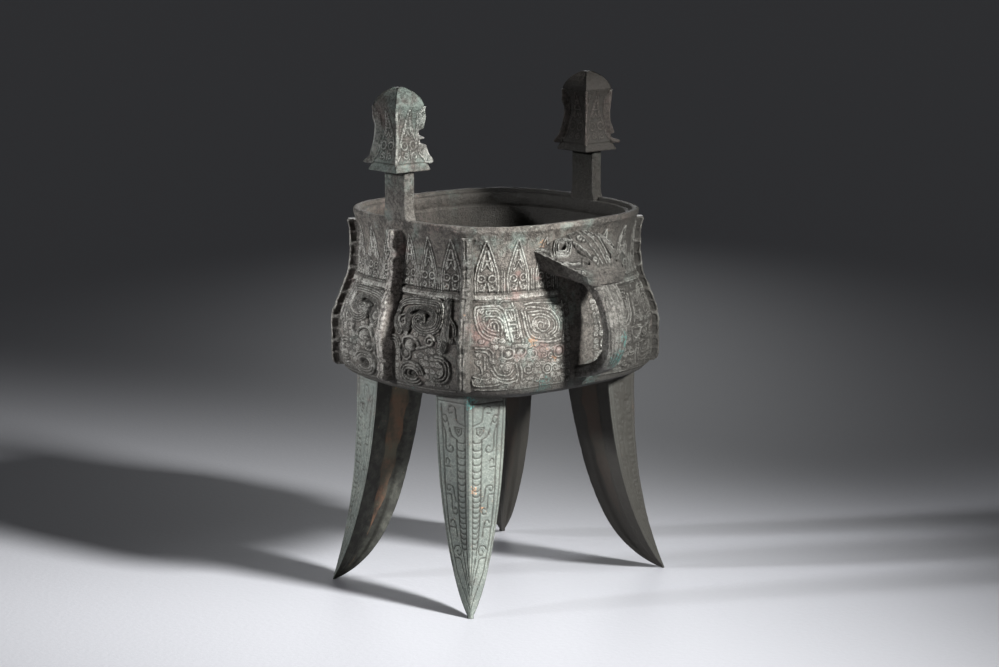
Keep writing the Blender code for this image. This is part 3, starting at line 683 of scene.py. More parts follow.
def neck_leaf(sheet, x, low, high, half):
    """A pointed leaf of the neck: double lined, with a barred peak over a pair of ring eyes."""
    def spot(away, share):
        return x + away, blend(low, high, share)
    for sign in (-1, 1):
        for line, inset, width, rise in ((LEAF_OUTER, 0.0, 1.15, 1.0), (LEAF_INNER, 2.0, 0.9, 0.9)):
            spots = [spot(sign * (half * wide - inset), share) for wide, share in line]
            sheet.ridge(bend(spots, 5), width, rise)
        foot = spot(sign * half * 0.46, 0.42)
        sheet.ridge((foot, spot(sign * 0.7, 0.80)), 1.0)
        sheet.ridge(bend((foot, spot(sign * half * 0.24, 0.47), spot(0.0, 0.57))), 0.95)
        sheet.ring(*spot(sign * half * 0.44, 0.27), 2.8, 0.95, 2.0, 0.95)
        sheet.ridge(curl(*spot(sign * half * 0.46, 0.09), 2.4, 2.2, 1.1, 0.25, 3.0, 0.3, sign=sign), 0.85)
        sheet.ridge((spot(sign * 1.0, 0.19), spot(sign * 2.2, 0.03)), 0.85)
    sheet.ridge((spot(-half * 0.26, 0.61), spot(half * 0.26, 0.61)), 0.85)


def neck_band(sheet, centres, half, height):
    """The leaves of one half side, the dividers between them and the plain border under them."""
    low, high = 0.608 * height, 0.918 * height
    for x in centres:
        neck_leaf(sheet, x, low, high, half)
    gap = abs(centres[0] - centres[1]) / 2
    for x in [*(c - gap for c in centres), centres[0] + gap]:
        for side in (-0.9, 0.9):
            sheet.ridge(((x + side, low), (x + side, blend(low, high, 0.42))), 0.9, 0.9)
    ends = (min(centres) - gap, max(centres) + gap)
    sheet.band([(x, 0.584 * height) for x in ends], 3.6, 0.55, soft=0.8)
    for level in (0.556, 0.612):
        sheet.groove([(x, level * height) for x in ends], 0.9)
    x = ends[0]
    while x < ends[1] - 4:
        sheet.ridge(((x + 1, 0.575 * height), (x + 5, 0.575 * height), (x + 5, 0.593 * height)), 0.8, 0.7)
        x += 7.5


def thunder_ground(sheet, left, right, low, high, pitch=5.4):
    """Small squared spirals wherever a side is still bare."""
    row = 0
    y = low + pitch / 2
    while y < high - pitch / 3:
        x = left + pitch / 2
        while x < right - pitch / 3:
            place, _ = sheet.distance(((x, y), (x, y)), pitch * 0.42)
            busy = (sheet.form[place] + sheet.thread[place] + sheet.cut[place]) > 0.25
            if busy.size and busy.mean() < 0.22:
                a = LATTICE[(int(x * 7) + int(y * 131)) & LAST]
                b = LATTICE[(int(x * 57) + int(y * 11)) & LAST]
                size = pitch * (0.43 + 0.07 * a)
                start = 0.125 + 0.5 * (row % 2) + 0.2 * b
                tall, sign = size * (0.9 + 0.15 * b), 1 if a > 0 else -1
                spiral = curl(x + 0.5 * b, y + 0.5 * a, size, tall, 1.7, start, 3.2, 0.15, sign=sign)
                sheet.ridge(spiral, 0.75, 0.8)
            x += pitch
        y += pitch
        row += 1


# Raised lines of half a mask on the front and back, in millimetres from the side's middle and lower edge
WIDE_THICK = (
    ((93, 59.4), (94.1, 63.5), (94.8, 68.7), (93.9, 72.1), (89.6, 72.7), (80, 73.2), (75.5, 71.8),
     (72.9, 68.6), (70.8, 62.8), (69.8, 58.2), (68.4, 51.2), (67, 45.2)),
    ((63.6, 69), (61.9, 59.1), (60.7, 51.2), (58.9, 43.9)),
    ((59.3, 68.7), (58.2, 63.3), (56.5, 53.1), (54.2, 47.4), (50, 44.1), (32.9, 41.2), (24, 42.4)),
    ((67.2, 41.9), (61.6, 42.2), (55.8, 41)), ((67.1, 40.4), (62, 40.6), (56.8, 39.7)),
    ((67.1, 40.4), (65.5, 35), (61.7, 31.5)), ((61.7, 31.5), (57.5, 34.9), (56.8, 39.7)),
)
# The thinner lines of the same mask, then those with sharp corners
WIDE_FINE = (
    ((91.4, 60.5), (92.4, 64.3), (92.9, 68.4), (92, 70.6), (88.8, 70.9), (80.4, 71.4), (77, 70),
     (74.8, 67.2), (72.8, 62.2), (71.7, 57.5), (70.4, 50.9), (69.2, 45.6)),
    ((83.6, 68), (84.2, 66.8), (86.1, 67.2), (86.2, 69.2), (80, 69.5), (77.4, 68), (76, 65.4)),
    ((88.2, 62.8), (87.2, 65), (80, 65.4), (76, 63.5), (73.6, 60), (72.6, 54.5), (71.9, 50)),
    ((93, 59.4), (91, 53.8), (86.8, 49.1), (80.6, 46.6)),
    ((91.4, 60.4), (89.3, 55.3), (85.5, 51), (77.2, 48.3)),
    ((89.8, 60.5), (87.6, 56.3), (84, 53.2), (77.9, 51)),
    ((88.1, 61.6), (86.3, 57.9), (83.5, 55.4), (79.3, 54)),
    ((84.8, 58), (83.6, 62.7), (79.3, 62.9), (75.8, 60.1), (74.8, 55.5), (75.6, 51)),
    ((82.8, 57), (82.9, 59.9), (80.7, 61.1), (78.2, 59.9), (77.5, 54.2)), ((80.8, 58.6), (80, 54.6)),
    ((76.2, 75.2), (73.1, 76.6), (67.6, 75.8), (66.1, 72.3)),
    ((57, 72.6), (50, 73.4), (40, 72.6), (28, 71.4)),
    ((56.6, 67.2), (55.2, 58.4), (53.4, 51.2), (49, 46.6), (36.9, 43.7), (28.7, 45.3)),
    ((53.8, 64), (52.9, 57.4), (49.7, 51.8), (44.3, 49.4)),
    ((55.6, 69.2), (53.2, 70.6), (40.7, 68.6), (30.4, 65.1), (25, 57), (26.4, 48.4), (31, 45.8)),
    ((54.2, 66.6), (41, 66.4), (32.2, 63), (27.4, 56), (28.8, 50), (33.4, 47)),
    ((50.6, 64), (42, 64.2), (33.6, 60.6), (29.8, 55.4), (31.2, 50.8), (36.4, 48.2)),
    ((48.7, 52.6), (50.9, 57.1), (48.3, 61.3), (43.3, 62.2), (37, 60), (34.6, 55.2), (38.6, 51),
     (43.3, 51.2), (46.9, 54.9), (44.4, 58.2), (40.4, 56.6), (40.8, 54)),
    ((92.2, 28), (89.4, 25.1), (88.8, 20.3), (91.5, 19.5)), ((86.8, 34.4), (87.1, 23.5)),
    ((85.3, 32.3), (85, 25.9), (82.7, 24.2)), ((81.3, 26.5), (77.9, 19.9), (70.7, 18.1), (67, 22.2)),
    ((82.7, 23.4), (77.9, 16.5), (68.5, 14.9), (64.4, 18.6)),
    ((94.9, 17.8), (86.8, 15.2), (82.7, 16.9), (72.2, 12.1), (64.7, 13.4)),
    ((95.6, 15), (93.6, 10.3), (82.7, 10.1), (74.3, 11.8)), ((64.8, 26.8), (63.2, 18.5), (64.3, 12.1)),
    ((61.6, 26.4), (60, 19), (60.8, 10.8)), ((73.6, 27.6), (70.8, 28.6), (66.3, 27.6)),
    ((94, 7), (80, 6.6), (60, 6.4), (40, 6.6), (20, 6.4)),
    ((21.4, 41.5), (19.4, 52), (18.6, 62), (19, 72)),
)
WIDE_CORNERED = (
    ((80, 73.2), (80, 76.1)), ((93.5, 41.3), (84.1, 40.4), (81.3, 37), (81.3, 29.8)),
    ((92.9, 38.7), (86.1, 37.8), (83.5, 34.3), (83.4, 29.9)),
    ((72.1, 69.7), (66.2, 69.3), (65, 66.2), (65, 61.6), (68.9, 61), (69.6, 62.7)),
    ((70.2, 68), (67.7, 62.4)), ((68.2, 67.9), (66.6, 63.6)),
    ((68.4, 58.5), (63.6, 58.1), (63.4, 53.4), (67.8, 53.4), (68.3, 55.8), (65.6, 55.7)),
)
# Its coils: the spot, the size, the turns and where it starts
WIDE_COILS = (
    (90.2, 68.8, 2.1, 1.2, 0), (64.3, 49.3, 2.6, 1.4, 0.3), (71.6, 48.6, 1.7, 1, 0.2),
    (40.8, 31.4, 2.9, 1.3, 0.2), (34.4, 30.6, 2.7, 1.2, 0.7), (72.2, 22.7, 2.9, 1.3, 0.5),
    (55, 21.6, 4, 1.5, 0.5), (56.8, 12.4, 2.4, 1.2, 0), (89.6, 46.4, 2, 1.1, 0.4),
    (47.6, 12.4, 2.9, 1.3, 0.2), (30, 19.6, 3.4, 1.4, 0.1), (29.6, 11.2, 2.6, 1.2, 0.6),
    (21.4, 20, 2.6, 1.3, 0.4), (21.8, 12, 2.4, 1.2, 0.9), (47, 24.6, 2.4, 1.2, 0.4),
)


# The horn of half a mask on the left and right, in millimetres from the side's middle and lower edge
NARROW_HORN = (
    (14.4, 48), (9.8, 54), (9.4, 61), (12.2, 69.2), (24.6, 73.4), (46, 74.2), (52.3, 71.2), (53.1, 60.6),
    (49.8, 53.6), (39.5, 50.6), (31.4, 53.4), (28.8, 58.4), (31.8, 62), (36.4, 61.2), (37.2, 58.2),
)
# Its other bands: the line, its width and rise, where lines are cut along it and how soft its sides are
NARROW_BANDS = (
    (((19.4, 50.2), (22.6, 54.6), (20, 61), (22.6, 65.8), (37, 68.2), (45.3, 66.8), (47.4, 62.4),
      (44.8, 57.4), (39.6, 55.6)), 3.8, 0.85, (0.0, 1.1), 1.2),
    (((58.8, 77), (59.5, 68), (59.4, 60.1), (59.5, 47.8), (57.2, 38)), 4.6, 1.25, (0.0, 1.3), 1.2),
    (((59.6, 66), (62.2, 61.8), (65.4, 57), (66, 51)), 2.4, 1.0, (0.0,), 1.0),
    (((18.6, 38.4), (20.2, 43), (27, 44.8), (33.8, 42.2), (36.4, 38)), 2.0, 0.9, (), 1.0),
    (((33.6, 36), (39.5, 37.6), (43.4, 39)), 1.7, 0.9, (), 1.0),
)
# Its coils, as curl takes them, each with a width and a rise
NARROW_COILS = (
    ((17.0, 56.0, 4.6, 5.0, 1.2, 0.25, 2.0, 0.25), 1.6, 0.9),
    ((63.6, 46.4, 2.0, 2.8, 1.2, 0.4, 2.0, 0.2), 1.2, 0.8),
    ((22.4, 30.6, 4.9, 5.2, 0.8, 0.45, 2.0, 0.9), 1.5, 0.9),
    ((46.1, 43.4, 4.6, 4.8, 1.5, 0.05, 2.0, 0.22), 1.7, 1.1),
)
# Nests of open arcs: the inner hook beside the flange, the curled jaw and the cheek's scroll
NARROW_ARCS = (
    ((6.6, 34.0, 9.0, 9.4, 3, 2.3, -0.02, 0.36, 2.6), 1.3, 0.9),
    ((27.9, 14.6, 12.0, 9.2, 3, 2.3, 0.02, 0.90, 2.4), 1.5, 1.0),
    ((53.6, 21.4, 8.6, 10.6, 3, 2.4, -0.34, 0.30, 2.4), 1.5, 1.0),
)


def wide_mask(sheet):
    """Half of the mask on the front and back: two coiled horns over eyes and a low muzzle."""
    for lines, width in ((WIDE_THICK, 1.35), (WIDE_FINE, 0.95)):
        for line in lines:
            sheet.ridge(bend(line, 5), width)
    for line in WIDE_CORNERED:
        sheet.ridge(line, 0.95)
    for x, y, size, turns, start in WIDE_COILS:
        sheet.ridge(curl(x, y, size, size * 0.96, turns, start, 2.6, 0.18), 0.85)
    for x, y, size in ((50.7, 33.2, 2.9), (37.6, 20.1, 4.2), (37.6, 20.1, 1.9)):
        sheet.ring(x, y, size, 0.95, dot=size > 2)
    for x, y, size in ((61.7, 36.0, 2.7), (71.1, 35.5, 2.6), (25.6, 32.9, 3.3)):
        sheet.boss(x, y, size, 1.3)
    sheet.ridge(curl(71.1, 35.5, 4.6, 4.2, 0.9, 0.2, 2.6, 0.95), 0.95)
    sheet.ridge(curl(25.6, 32.9, 5.2, 4.8, 1.0, 0.0, 2.6, 0.98), 1.1)


def narrow_mask(sheet):
    """Half of the mask on the left and right: a thick coiled horn, an eye, an ear and a curled jaw."""
    horn = bend(NARROW_HORN)
    sheet.band(horn, 6.4, 1.1, (0.0, 1.8), 1.2)
    sheet.notches(horn[4:60], 2.4, 2.7)
    for line, width, rise, grooves, soft in NARROW_BANDS:
        sheet.band(bend(line), width, rise, grooves, soft)
    for coil, width, rise in NARROW_COILS:
        sheet.band(curl(*coil), width, rise)
    for nest, width, rise in NARROW_ARCS:
        for line in arcs(*nest):
            sheet.band(line, width, rise)
    sheet.band(((15.4, 33.6), (15.2, 24.0)), 1.3, 0.9)
    # the eye and the cheek's boss
    sheet.boss(27.0, 37.6, 5.0, 2.2)
    sheet.boss(22.4, 30.6, 3.0, 1.3)
    # deep hollows inside the horn and the jaw
    sheet.groove(bend(((24.6, 62.6), (31.0, 65.2), (38.8, 65.0), (42.0, 62.4))), 2.6, 1.9)
    sheet.groove(bend(((25.6, 62.6), (26.4, 57.4), (26.0, 51.0), (24.4, 47.4))), 2.4, 1.9)
    sheet.groove(curl(28.2, 14.2, 4.4, 2.4, 0.9, 0.0, 2.0, 0.4), 2.2, 1.6)
    # the mask's frame
    sheet.ridge(((10.0, 78.0), (54.6, 79.0), (56.2, 62), (55.6, 46)), 1.2)
    sheet.ridge(((9.0, 4.2), (66, 4.2)), 1.1)


# Rounding of the lip's outer edge, and how much bolder the relief is on the narrow sides and by the handle
LIP_ROUND = 0.0012
LIP_DROP = 0.0010
NARROW_BOLD = 2.2
HANDLE_BOLD = 2.0


def bowl_sheet(bowl, side, sign, step, relief):
    """One half side of the bowl, from its middle to its corner, as a sheet of points."""
    narrow = side in NARROW_SIDES
    run = (CORNER_TURN if narrow else math.pi / 2 - CORNER_TURN) * bowl.mean
    height = bowl.sizes.height
    across, up = np.linspace(0, run, int(run / step) + 1), np.linspace(0, height, int(height / step) + 1)
    sheet = Drawing(across * MM, up * MM)
    tall = height * MM
    if narrow:
        neck_band(sheet, (59.0, 36.8, 14.6), 8.8, tall)
        narrow_mask(sheet)
        thunder_ground(sheet, 8, 66, 6, 0.545 * tall)
    else:
        neck_band(sheet, (86.4, 60.8, 35.2), 9.6, tall)
        wide_mask(sheet)
        thunder_ground(sheet, 13, 96, 6, 0.545 * tall)
    angle = SIDES[side] + sign * across[None, :] / bowl.mean
    z = bowl.low + up[:, None]
    flat = bowl.point(z, angle)
    wear = 0.75 + 0.25 * lumps(flat, 0.010, 11) + 0.12 * lumps(flat, 0.004, 12)
    # nothing is raised at the lower edge and in the corner, and the lip's top edge is rounded
    edge = smooth_step(0, 0.0045, up)[:, None] * smooth_step(0, 0.006, run - across)[None, :]
    lip_round = clamp((z - bowl.rim + LIP_ROUND) / LIP_ROUND)
    # the half of the front beyond the handle lies in shade, so its lines stand out more
    by_handle = side == "front" and sign > 0
    bold = NARROW_BOLD if narrow else HANDLE_BOLD if by_handle else 1.0
    thread = relief.thread * (HANDLE_BOLD if by_handle else 1.0)
    lift = sheet.form * relief.form * bold + sheet.thread * thread - sheet.cut * relief.cut * bold
    lift = lift * wear * edge + corroded(flat, relief.pitting)
    lift = lift - LIP_DROP * (1 - np.sqrt(1 - lip_round ** 2))
    raised = clamp(sheet.thread + 0.75 * clamp(sheet.form)) * wear
    # below the lip, painted shade beside the raised forms joins the cut lines in the cut amount
    below_lip = smooth_step(0.93, 0.89, up / height)[:, None]
    cut = clamp(sheet.cut + sheet.shade_beside_raised() * below_lip) * edge
    return {"points": bowl.point(z, angle, lift), "raised": raised * edge, "cut": cut, "flip": sign < 0}


class JIA_OT_bowl(bpy.types.Operator):
    """Builds the bowl's four sides with their leaves and masks"""

    bl_idname = "jia.bowl"
    bl_label = "Bowl sides"

    def execute(self, context):
        scene = context.scene
        bowl, relief = Bowl(scene.jia_bowl), scene.jia_relief
        # the narrow sides' bronze carries painted shade on its ground and painted highlights on its ridges
        wide, narrow, shady = [old_bronze(name, scene.jia_patina) for name in
                               ("bronze_wide_sides", "bronze_narrow_sides_painted_shade_highlight", "bronze_painted_shade_by_handle")]
        for side in SIDES:
            step = relief.near if side in ("front", "left") else relief.far
            for sign, word in ((1, "a"), (-1, "b")):
                # the half of the front beyond the handle takes the copy with painted shade
                bronze = narrow if side in NARROW_SIDES else shady if (side, sign) == ("front", 1) else wide
                make_piece(f"side_{side}_{word}", [bowl_sheet(bowl, side, sign, step, relief)], bronze)
        return {"FINISHED"}


# Points round the rim and the inside, and rows down the wall
RIM_STEPS = 300
WALL_ROWS = 46


class JIA_OT_inside(bpy.types.Operator):
    """Builds the rim, the inside of the bowl and its underside"""

    bl_idname = "jia.inside"
    bl_label = "Rim, inside and underside"

    def execute(self, context):
        scene = context.scene
        bowl = Bowl(scene.jia_bowl)
        rim, dim = [old_bronze(name, scene.jia_patina) for name in ("bronze_rim", "bronze_inside")]
        angle = whole_turn(RIM_STEPS)[None, :]
        edge, room = self.stations(bowl)
        points = bowl.rings(edge + room, angle)
        points = points + upright(corroded(points, 0.00030))
        points = np.vstack([points, drawn_in(points[-1], 0.001)])
        make_piece("rim", [{"points": points[:len(edge)], "closed": True}], rim)
        make_piece("inside", [{"points": points[len(edge) - 1:], "closed": True}], dim)
        make_piece("underside", [{"points": self.underside(bowl, angle), "closed": True}], dim)
        return {"FINISHED"}

    def stations(self, bowl):
        """Rows of the rim and its ledge, and of the room under them, as Bowl.rings takes them."""
        sizes = bowl.sizes
        ledge_z, inner = bowl.rim - sizes.rim_step, sizes.rim_flat + sizes.ledge
        collar_low = ledge_z - sizes.collar
        wall_top = collar_low - 0.003
        floor_z = bowl.low - sizes.drop + sizes.wall
        edge = [(z, inset, bowl.rim) for z, inset in (
            (bowl.rim, 0.0010), (bowl.rim, 0.0022), (bowl.rim, 0.0038), (bowl.rim - 0.0004, 0.0047),
            (bowl.rim - 0.0012, sizes.rim_flat), (ledge_z + 0.0003, sizes.rim_flat + 0.0003),
            (ledge_z, sizes.rim_flat + 0.0010), (ledge_z, inner - 0.0012), (ledge_z - 0.0005, inner),
            (ledge_z - 0.004, inner + 0.0002), (collar_low, inner), (collar_low - 0.0012, inner - 0.0016))]
        edge.append((wall_top, sizes.wall, wall_top))
        room = [(z, sizes.wall, z) for z in np.linspace(wall_top, bowl.low + 0.008, WALL_ROWS)[1:]]
        floor_level = bowl.low + 0.039 * sizes.height
        room += [(z, inset, floor_level) for z, inset in
                 ((bowl.low + 0.003, 0.0070), (bowl.low, 0.0110), (bowl.low - 0.0018, 0.0180),
                  (floor_z + 0.0006, 0.0270), (floor_z, 0.0400), (floor_z, 0.0600), (floor_z, 0.0990))]
        return edge, room

    def underside(self, bowl, angle):
        """The sagging bottom, from the bowl's lower edge to its middle."""
        low = [(bowl.low, 0.0, bowl.low), (bowl.low - 0.0010, 0.0016, bowl.low)]
        low += [(bowl.low - bowl.sizes.drop * drop, inset, bowl.low) for drop, inset in
                ((0.25, 0.004), (0.45, 0.008), (0.66, 0.014), (0.85, 0.022), (0.95, 0.031), (1.0, 0.040),
                 (1.0, 0.060), (1.0, 0.098))]
        points = bowl.rings(low, angle)
        points[1:] = points[1:] + upright(corroded(points[1:], 0.00035))
        return np.vstack([points, drawn_in(points[-1], 0.001)])


def upright(lift):
    """Corrosion mostly up and down, which leaves the outlines where they are."""
    return np.stack([lift * 0.4, lift * 0.4, lift], -1)


# A flange: how deep it is rooted in the wall, the rounding of its edge, its pits and its mesh step
FLANGE_ROOT = 0.0030
FLANGE_ROUND = 0.0014
FLANGE_PITS = 6
FLANGE_STEP = 0.0009
# What is left of the pits on each flange's two faces, and how ragged it is. The near corner's flange and the
# left one have worn smooth, and each has a bronze of its own; the left one's is rosy, and lighter as painted
# light on its lit edge
FLANGE_WEAR = (
    (0.2, 0.1, 2.0), (0.9, 1.0, 1.2), (1.0, 1.0, 1.4), (0.9, 0.9, 1.2), (0.9, 1.0, 1.2), (1.0, 0.9, 1.2),
    (0.22, 0.9, 1.9),
)
WORN_FLANGE, LEFT_FLANGE = 0, 6


def flange_sheet(bowl, angle, depth, relief, seed, crisp, worn, ragged):
    """A flange as one sheet round its three faces, with square pits and a worn, broken edge."""
    sizes = bowl.sizes
    low, high = bowl.low + sizes.flange_foot, bowl.rim - sizes.flange_clear
    half, rounding = sizes.flange / 2, FLANGE_ROUND * ragged
    z = np.linspace(low, high, int((high - low) / FLANGE_STEP) + 1)[:, None]
    face, edge = int((depth + FLANGE_ROOT) / FLANGE_STEP), int(2 * half / FLANGE_STEP) - 2
    less = rounding * 0.3
    corners = [(-FLANGE_ROOT, -half), (depth - rounding, -half), (depth - less, -half + less),
               (depth, -half + rounding), (depth, half - rounding), (depth - less, half - less),
               (depth - rounding, half), (-FLANGE_ROOT, half)]
    out, side = spaced(corners, (face, 2, 2, edge, 2, 2, face))
    up, tall = (z - low) * MM, (high - low) * MM
    pitch = tall / FLANGE_PITS
    in_pit = np.abs((up / pitch) % 1 - 0.5) * pitch
    pit_up = smooth_step(pitch / 2 - 0.9, pitch / 2 - 2.4, in_pit)
    pit_out = smooth_step(0.6, 1.6, out * MM) * smooth_step(depth * MM - 1.0, depth * MM - 2.2, out * MM)
    on_face = (np.abs(side) > half - 0.0006) * 1.0
    # each pit has filled or worn away to its own degree
    fate = clamp(0.75 + 0.55 * LATTICE[(np.floor(up / pitch).astype(int) * 7 + seed * 13) & LAST])
    kept = np.where(side > 0, crisp, worn) * fate
    pit = pit_up * pit_out * on_face * kept
    middle = smooth_step(1.3, 0.5, in_pit) * pit_out * on_face * kept
    slot = smooth_step(0.9, 0.35, np.abs(side) * MM) * (out > depth - 0.0004) * 0.8
    slot = slot * smooth_step(pitch / 2 - 0.8, pitch / 2 - 2.2, in_pit)
    c, s = math.cos(angle), math.sin(angle)
    far = 0.11 + out + 0 * up
    base = np.stack([c * far, s * far, z + 0 * out], -1)
    nick = clamp(lumps(base, 0.011, seed) - 0.25) * 0.0020
    nick = nick + clamp(lumps(base, 0.005, seed + 1) - 0.35) * 0.0014
    end = smooth_step(0, 1.6 * ragged, up) * smooth_step(tall, tall - 1.6 * ragged, up)
    nick = nick * ragged ** 1.5 * clamp(out / depth) ** 2
    reach = np.where(out > 0, out * (0.80 + 0.20 * end) - nick, out)
    reach = reach - 0.0005 * slot + corroded(base, relief.pitting * 1.4 * ragged) * (out > 0.001)
    aside = side - np.sign(side) * (pit * 0.0014 - middle * 0.0009)
    aside = aside + np.sign(side) * corroded(base + 0.3, relief.pitting * 0.9 * ragged) * on_face
    aside = aside * (1 - 0.18 * (ragged - 1) * clamp(out / depth))

    def placed(r, aside, z):
        x = r * c - aside * s
        return np.stack([x, r * s + aside * c + bowl.axis_y, z + 0 * x], -1)
    # both ends are closed with a row drawn in to the wall
    first, last = [placed(bowl.radius(z[rows], angle) - FLANGE_ROOT, aside[rows], z[rows])
                   for rows in (slice(0, 1), slice(-1, None))]
    points = np.vstack([first, placed(bowl.radius(z, angle) + reach, aside, z), last])
    raised = with_ends(clamp(1 - pit * 1.4) * (0.6 + 0.4 * (out > depth - 0.001)))
    return {"points": points, "raised": raised, "cut": with_ends(clamp(pit * 0.85 - middle + slot))}


class JIA_OT_flanges(bpy.types.Operator):
    """Builds the flanges on the corners and on the middles of three sides"""

    bl_idname = "jia.flanges"
    bl_label = "Flanges"

    def execute(self, context):
        scene = context.scene
        bowl, relief = Bowl(scene.jia_bowl), scene.jia_relief
        # the left flange's bronze is rosy and carries painted light
        usual, worn, left = [old_bronze(name, scene.jia_patina) for name in
                             ("bronze_flanges", "bronze_worn_flange", "bronze_left_flange_rosy_painted_light")]
        c, s = math.cos(CORNER_TURN), math.sin(CORNER_TURN)
        places = [(math.atan2(sy * s, sx * c), bowl.sizes.corner_flange)
                  for sx, sy in itertools.product((-1, 1), repeat=2)]
        places += [(SIDES[side], bowl.sizes.side_flange) for side in ("right", "back", "left")]
        for count, ((angle, depth), wear) in enumerate(zip(places, FLANGE_WEAR)):
            sheet = flange_sheet(bowl, angle, depth, relief, 31 + 2 * count, *wear)
            make_piece(f"flange_{count}", [sheet], {WORN_FLANGE: worn, LEFT_FLANGE: left}.get(count, usual))
        return {"FINISHED"}


# Where each leg's ridge starts under the bowl and where it stands, measured from the vessel's axis
LEG_SPOTS = {
    (-1, -1): ((0.0918, 0.0722), (0.1071, 0.0915)), (1, -1): ((0.0913, 0.0730), (0.1195, 0.0836)),
    (-1, 1): ((0.0913, 0.0730), (0.1165, 0.0765)), (1, 1): ((0.0800, 0.0830), (0.0960, 0.1010)),
}
NEAR_LEG = (-1, -1)
# Cut lines of a leg's outer face, as millimetres from its ridge and shares of its height from the top
LEG_LINES = (
    ((21.9, 0.063), (20.9, 0.18), (20.8, 0.33), (21.6, 0.574), (20.5, 0.746), (18.2, 0.836), (8, 0.93),
     (0.9, 0.968)), ((25, 0.03), (24.6, 0.3), (24.8, 0.6), (24.6, 0.78)),
    ((2.9, 0.03), (2.9, 0.3), (3.3, 0.6), (3.2, 0.74), (1.2, 0.86)),
    ((9.6, 0.213), (9.9, 0.401), (10, 0.589), (9, 0.69), (6, 0.78), (2.2, 0.88)),
    ((13, 0.093), (15.3, 0.097), (15.9, 0.078), (13.9, 0.063), (10.9, 0.072), (10.1, 0.104), (9, 0.133),
     (2.9, 0.147)), ((20.6, 0.128), (19.1, 0.142), (17.3, 0.127), (18.6, 0.108), (21.2, 0.112)),
    ((17.3, 0.13), (15.5, 0.161), (13.7, 0.198), (9.5, 0.213)),
    ((16, 0.25), (14.4, 0.243), (12.8, 0.255), (13.7, 0.272), (16.9, 0.272), (18.8, 0.251),
     (18.6, 0.198), (20.6, 0.15)),
    ((19.4, 0.325), (19.2, 0.309), (17.4, 0.304), (16, 0.318), (15.6, 0.345), (15.6, 0.401)),
    ((17, 0.442), (18.2, 0.45), (19.7, 0.444), (19.6, 0.428), (17.4, 0.424), (14.2, 0.43),
     (13.3, 0.468), (12.2, 0.492), (10, 0.5)),
    ((14.6, 0.53), (13, 0.523), (11.4, 0.534), (12.8, 0.55), (15.4, 0.547), (16.4, 0.521),
     (16.4, 0.468), (20.9, 0.466)),
    ((19.4, 0.592), (18.2, 0.581), (15.6, 0.58), (14, 0.604), (13.5, 0.649)),
    ((14.6, 0.711), (16.2, 0.72), (14.4, 0.731), (11.7, 0.727), (10.6, 0.708), (12.6, 0.69),
     (17.4, 0.694), (19.6, 0.709)), ((19.6, 0.745), (12.6, 0.748), (10.6, 0.78), (6, 0.855), (3, 0.9)),
)
LEG_CORNERED = (
    ((11.3, 0.157), (5.6, 0.157), (5.9, 0.183), (8.4, 0.198), (10.7, 0.178), (11.3, 0.157)),
    ((9.6, 0.165), (7.2, 0.165), (8.2, 0.183), (9.6, 0.165)), ((20.8, 0.341), (15.6, 0.341)),
    ((20.6, 0.611), (14, 0.611)), ((24.4, 0.045), (2, 0.045)),
)


def leg_ornament(sheet, tall):
    """Cut lines on one outer face of a leg: a column of beads by the ridge and hooked curls beside it."""
    for lines, smooth in ((LEG_LINES, True), (LEG_CORNERED, False)):
        for line in lines:
            spots = [(x, tall * (1 - share)) for x, share in line]
            sheet.groove(bend(spots, 4) if smooth else spots, 0.75)
    share = 0.222
    while share < 0.70:
        y, wide = tall * (1 - share), 9.6 if share < 0.6 else 9.0
        bead = ((3.2, y + 1.3), (4.0, y - 0.4), (6.4, y - 0.9), (wide - 0.9, y - 0.4), (wide, y + 1.3))
        sheet.groove(bend(bead, 4), 0.8)
        share += blend(0.035, 0.023, clamp((share - 0.22) / 0.30))


class Leg:
    """The kite section of a leg at each height."""

    def __init__(self, sizes, height, corner, axis_y):
        self.sizes, self.height, self.corner, self.axis_y = sizes, height, corner, axis_y
        self.out = Vector((corner[0], corner[1], 0)).normalized()

    def section(self, share):
        """The ridge, both edges and the inner edge, at a share of the height from the top."""
        sizes = self.sizes
        top, tip = LEG_SPOTS[self.corner]
        splay = share ** sizes.splay
        x, y = [c * blend(a, b, splay) for c, a, b in zip(self.corner, top, tip)]
        ridge = Vector((x, y, self.height * (1 - share)))
        spread = max(sizes.spread * (1 - share ** 2) ** 0.68, sizes.tip)
        setback = spread * blend(0.5, 0.75, (1 - share) ** 1.5)
        blade = blend(sizes.blade, sizes.knee, share) - sizes.tip
        depth = max(sizes.tip + blade * (1 - share ** 9) ** 0.8, setback + sizes.tip)
        across = Vector((-self.out.y, self.out.x, 0))
        inner = ridge - self.out * depth
        edges = [ridge - self.out * setback + across * spread * sign for sign in (1, -1)]
        return ridge, edges, inner


# A leg's mesh: its step up and the points across an outer face, for the near leg and for the others
NEAR_MESH = (0.0007, 46)
FAR_MESH = (0.0013, 34)
FACE_MM = 26.0


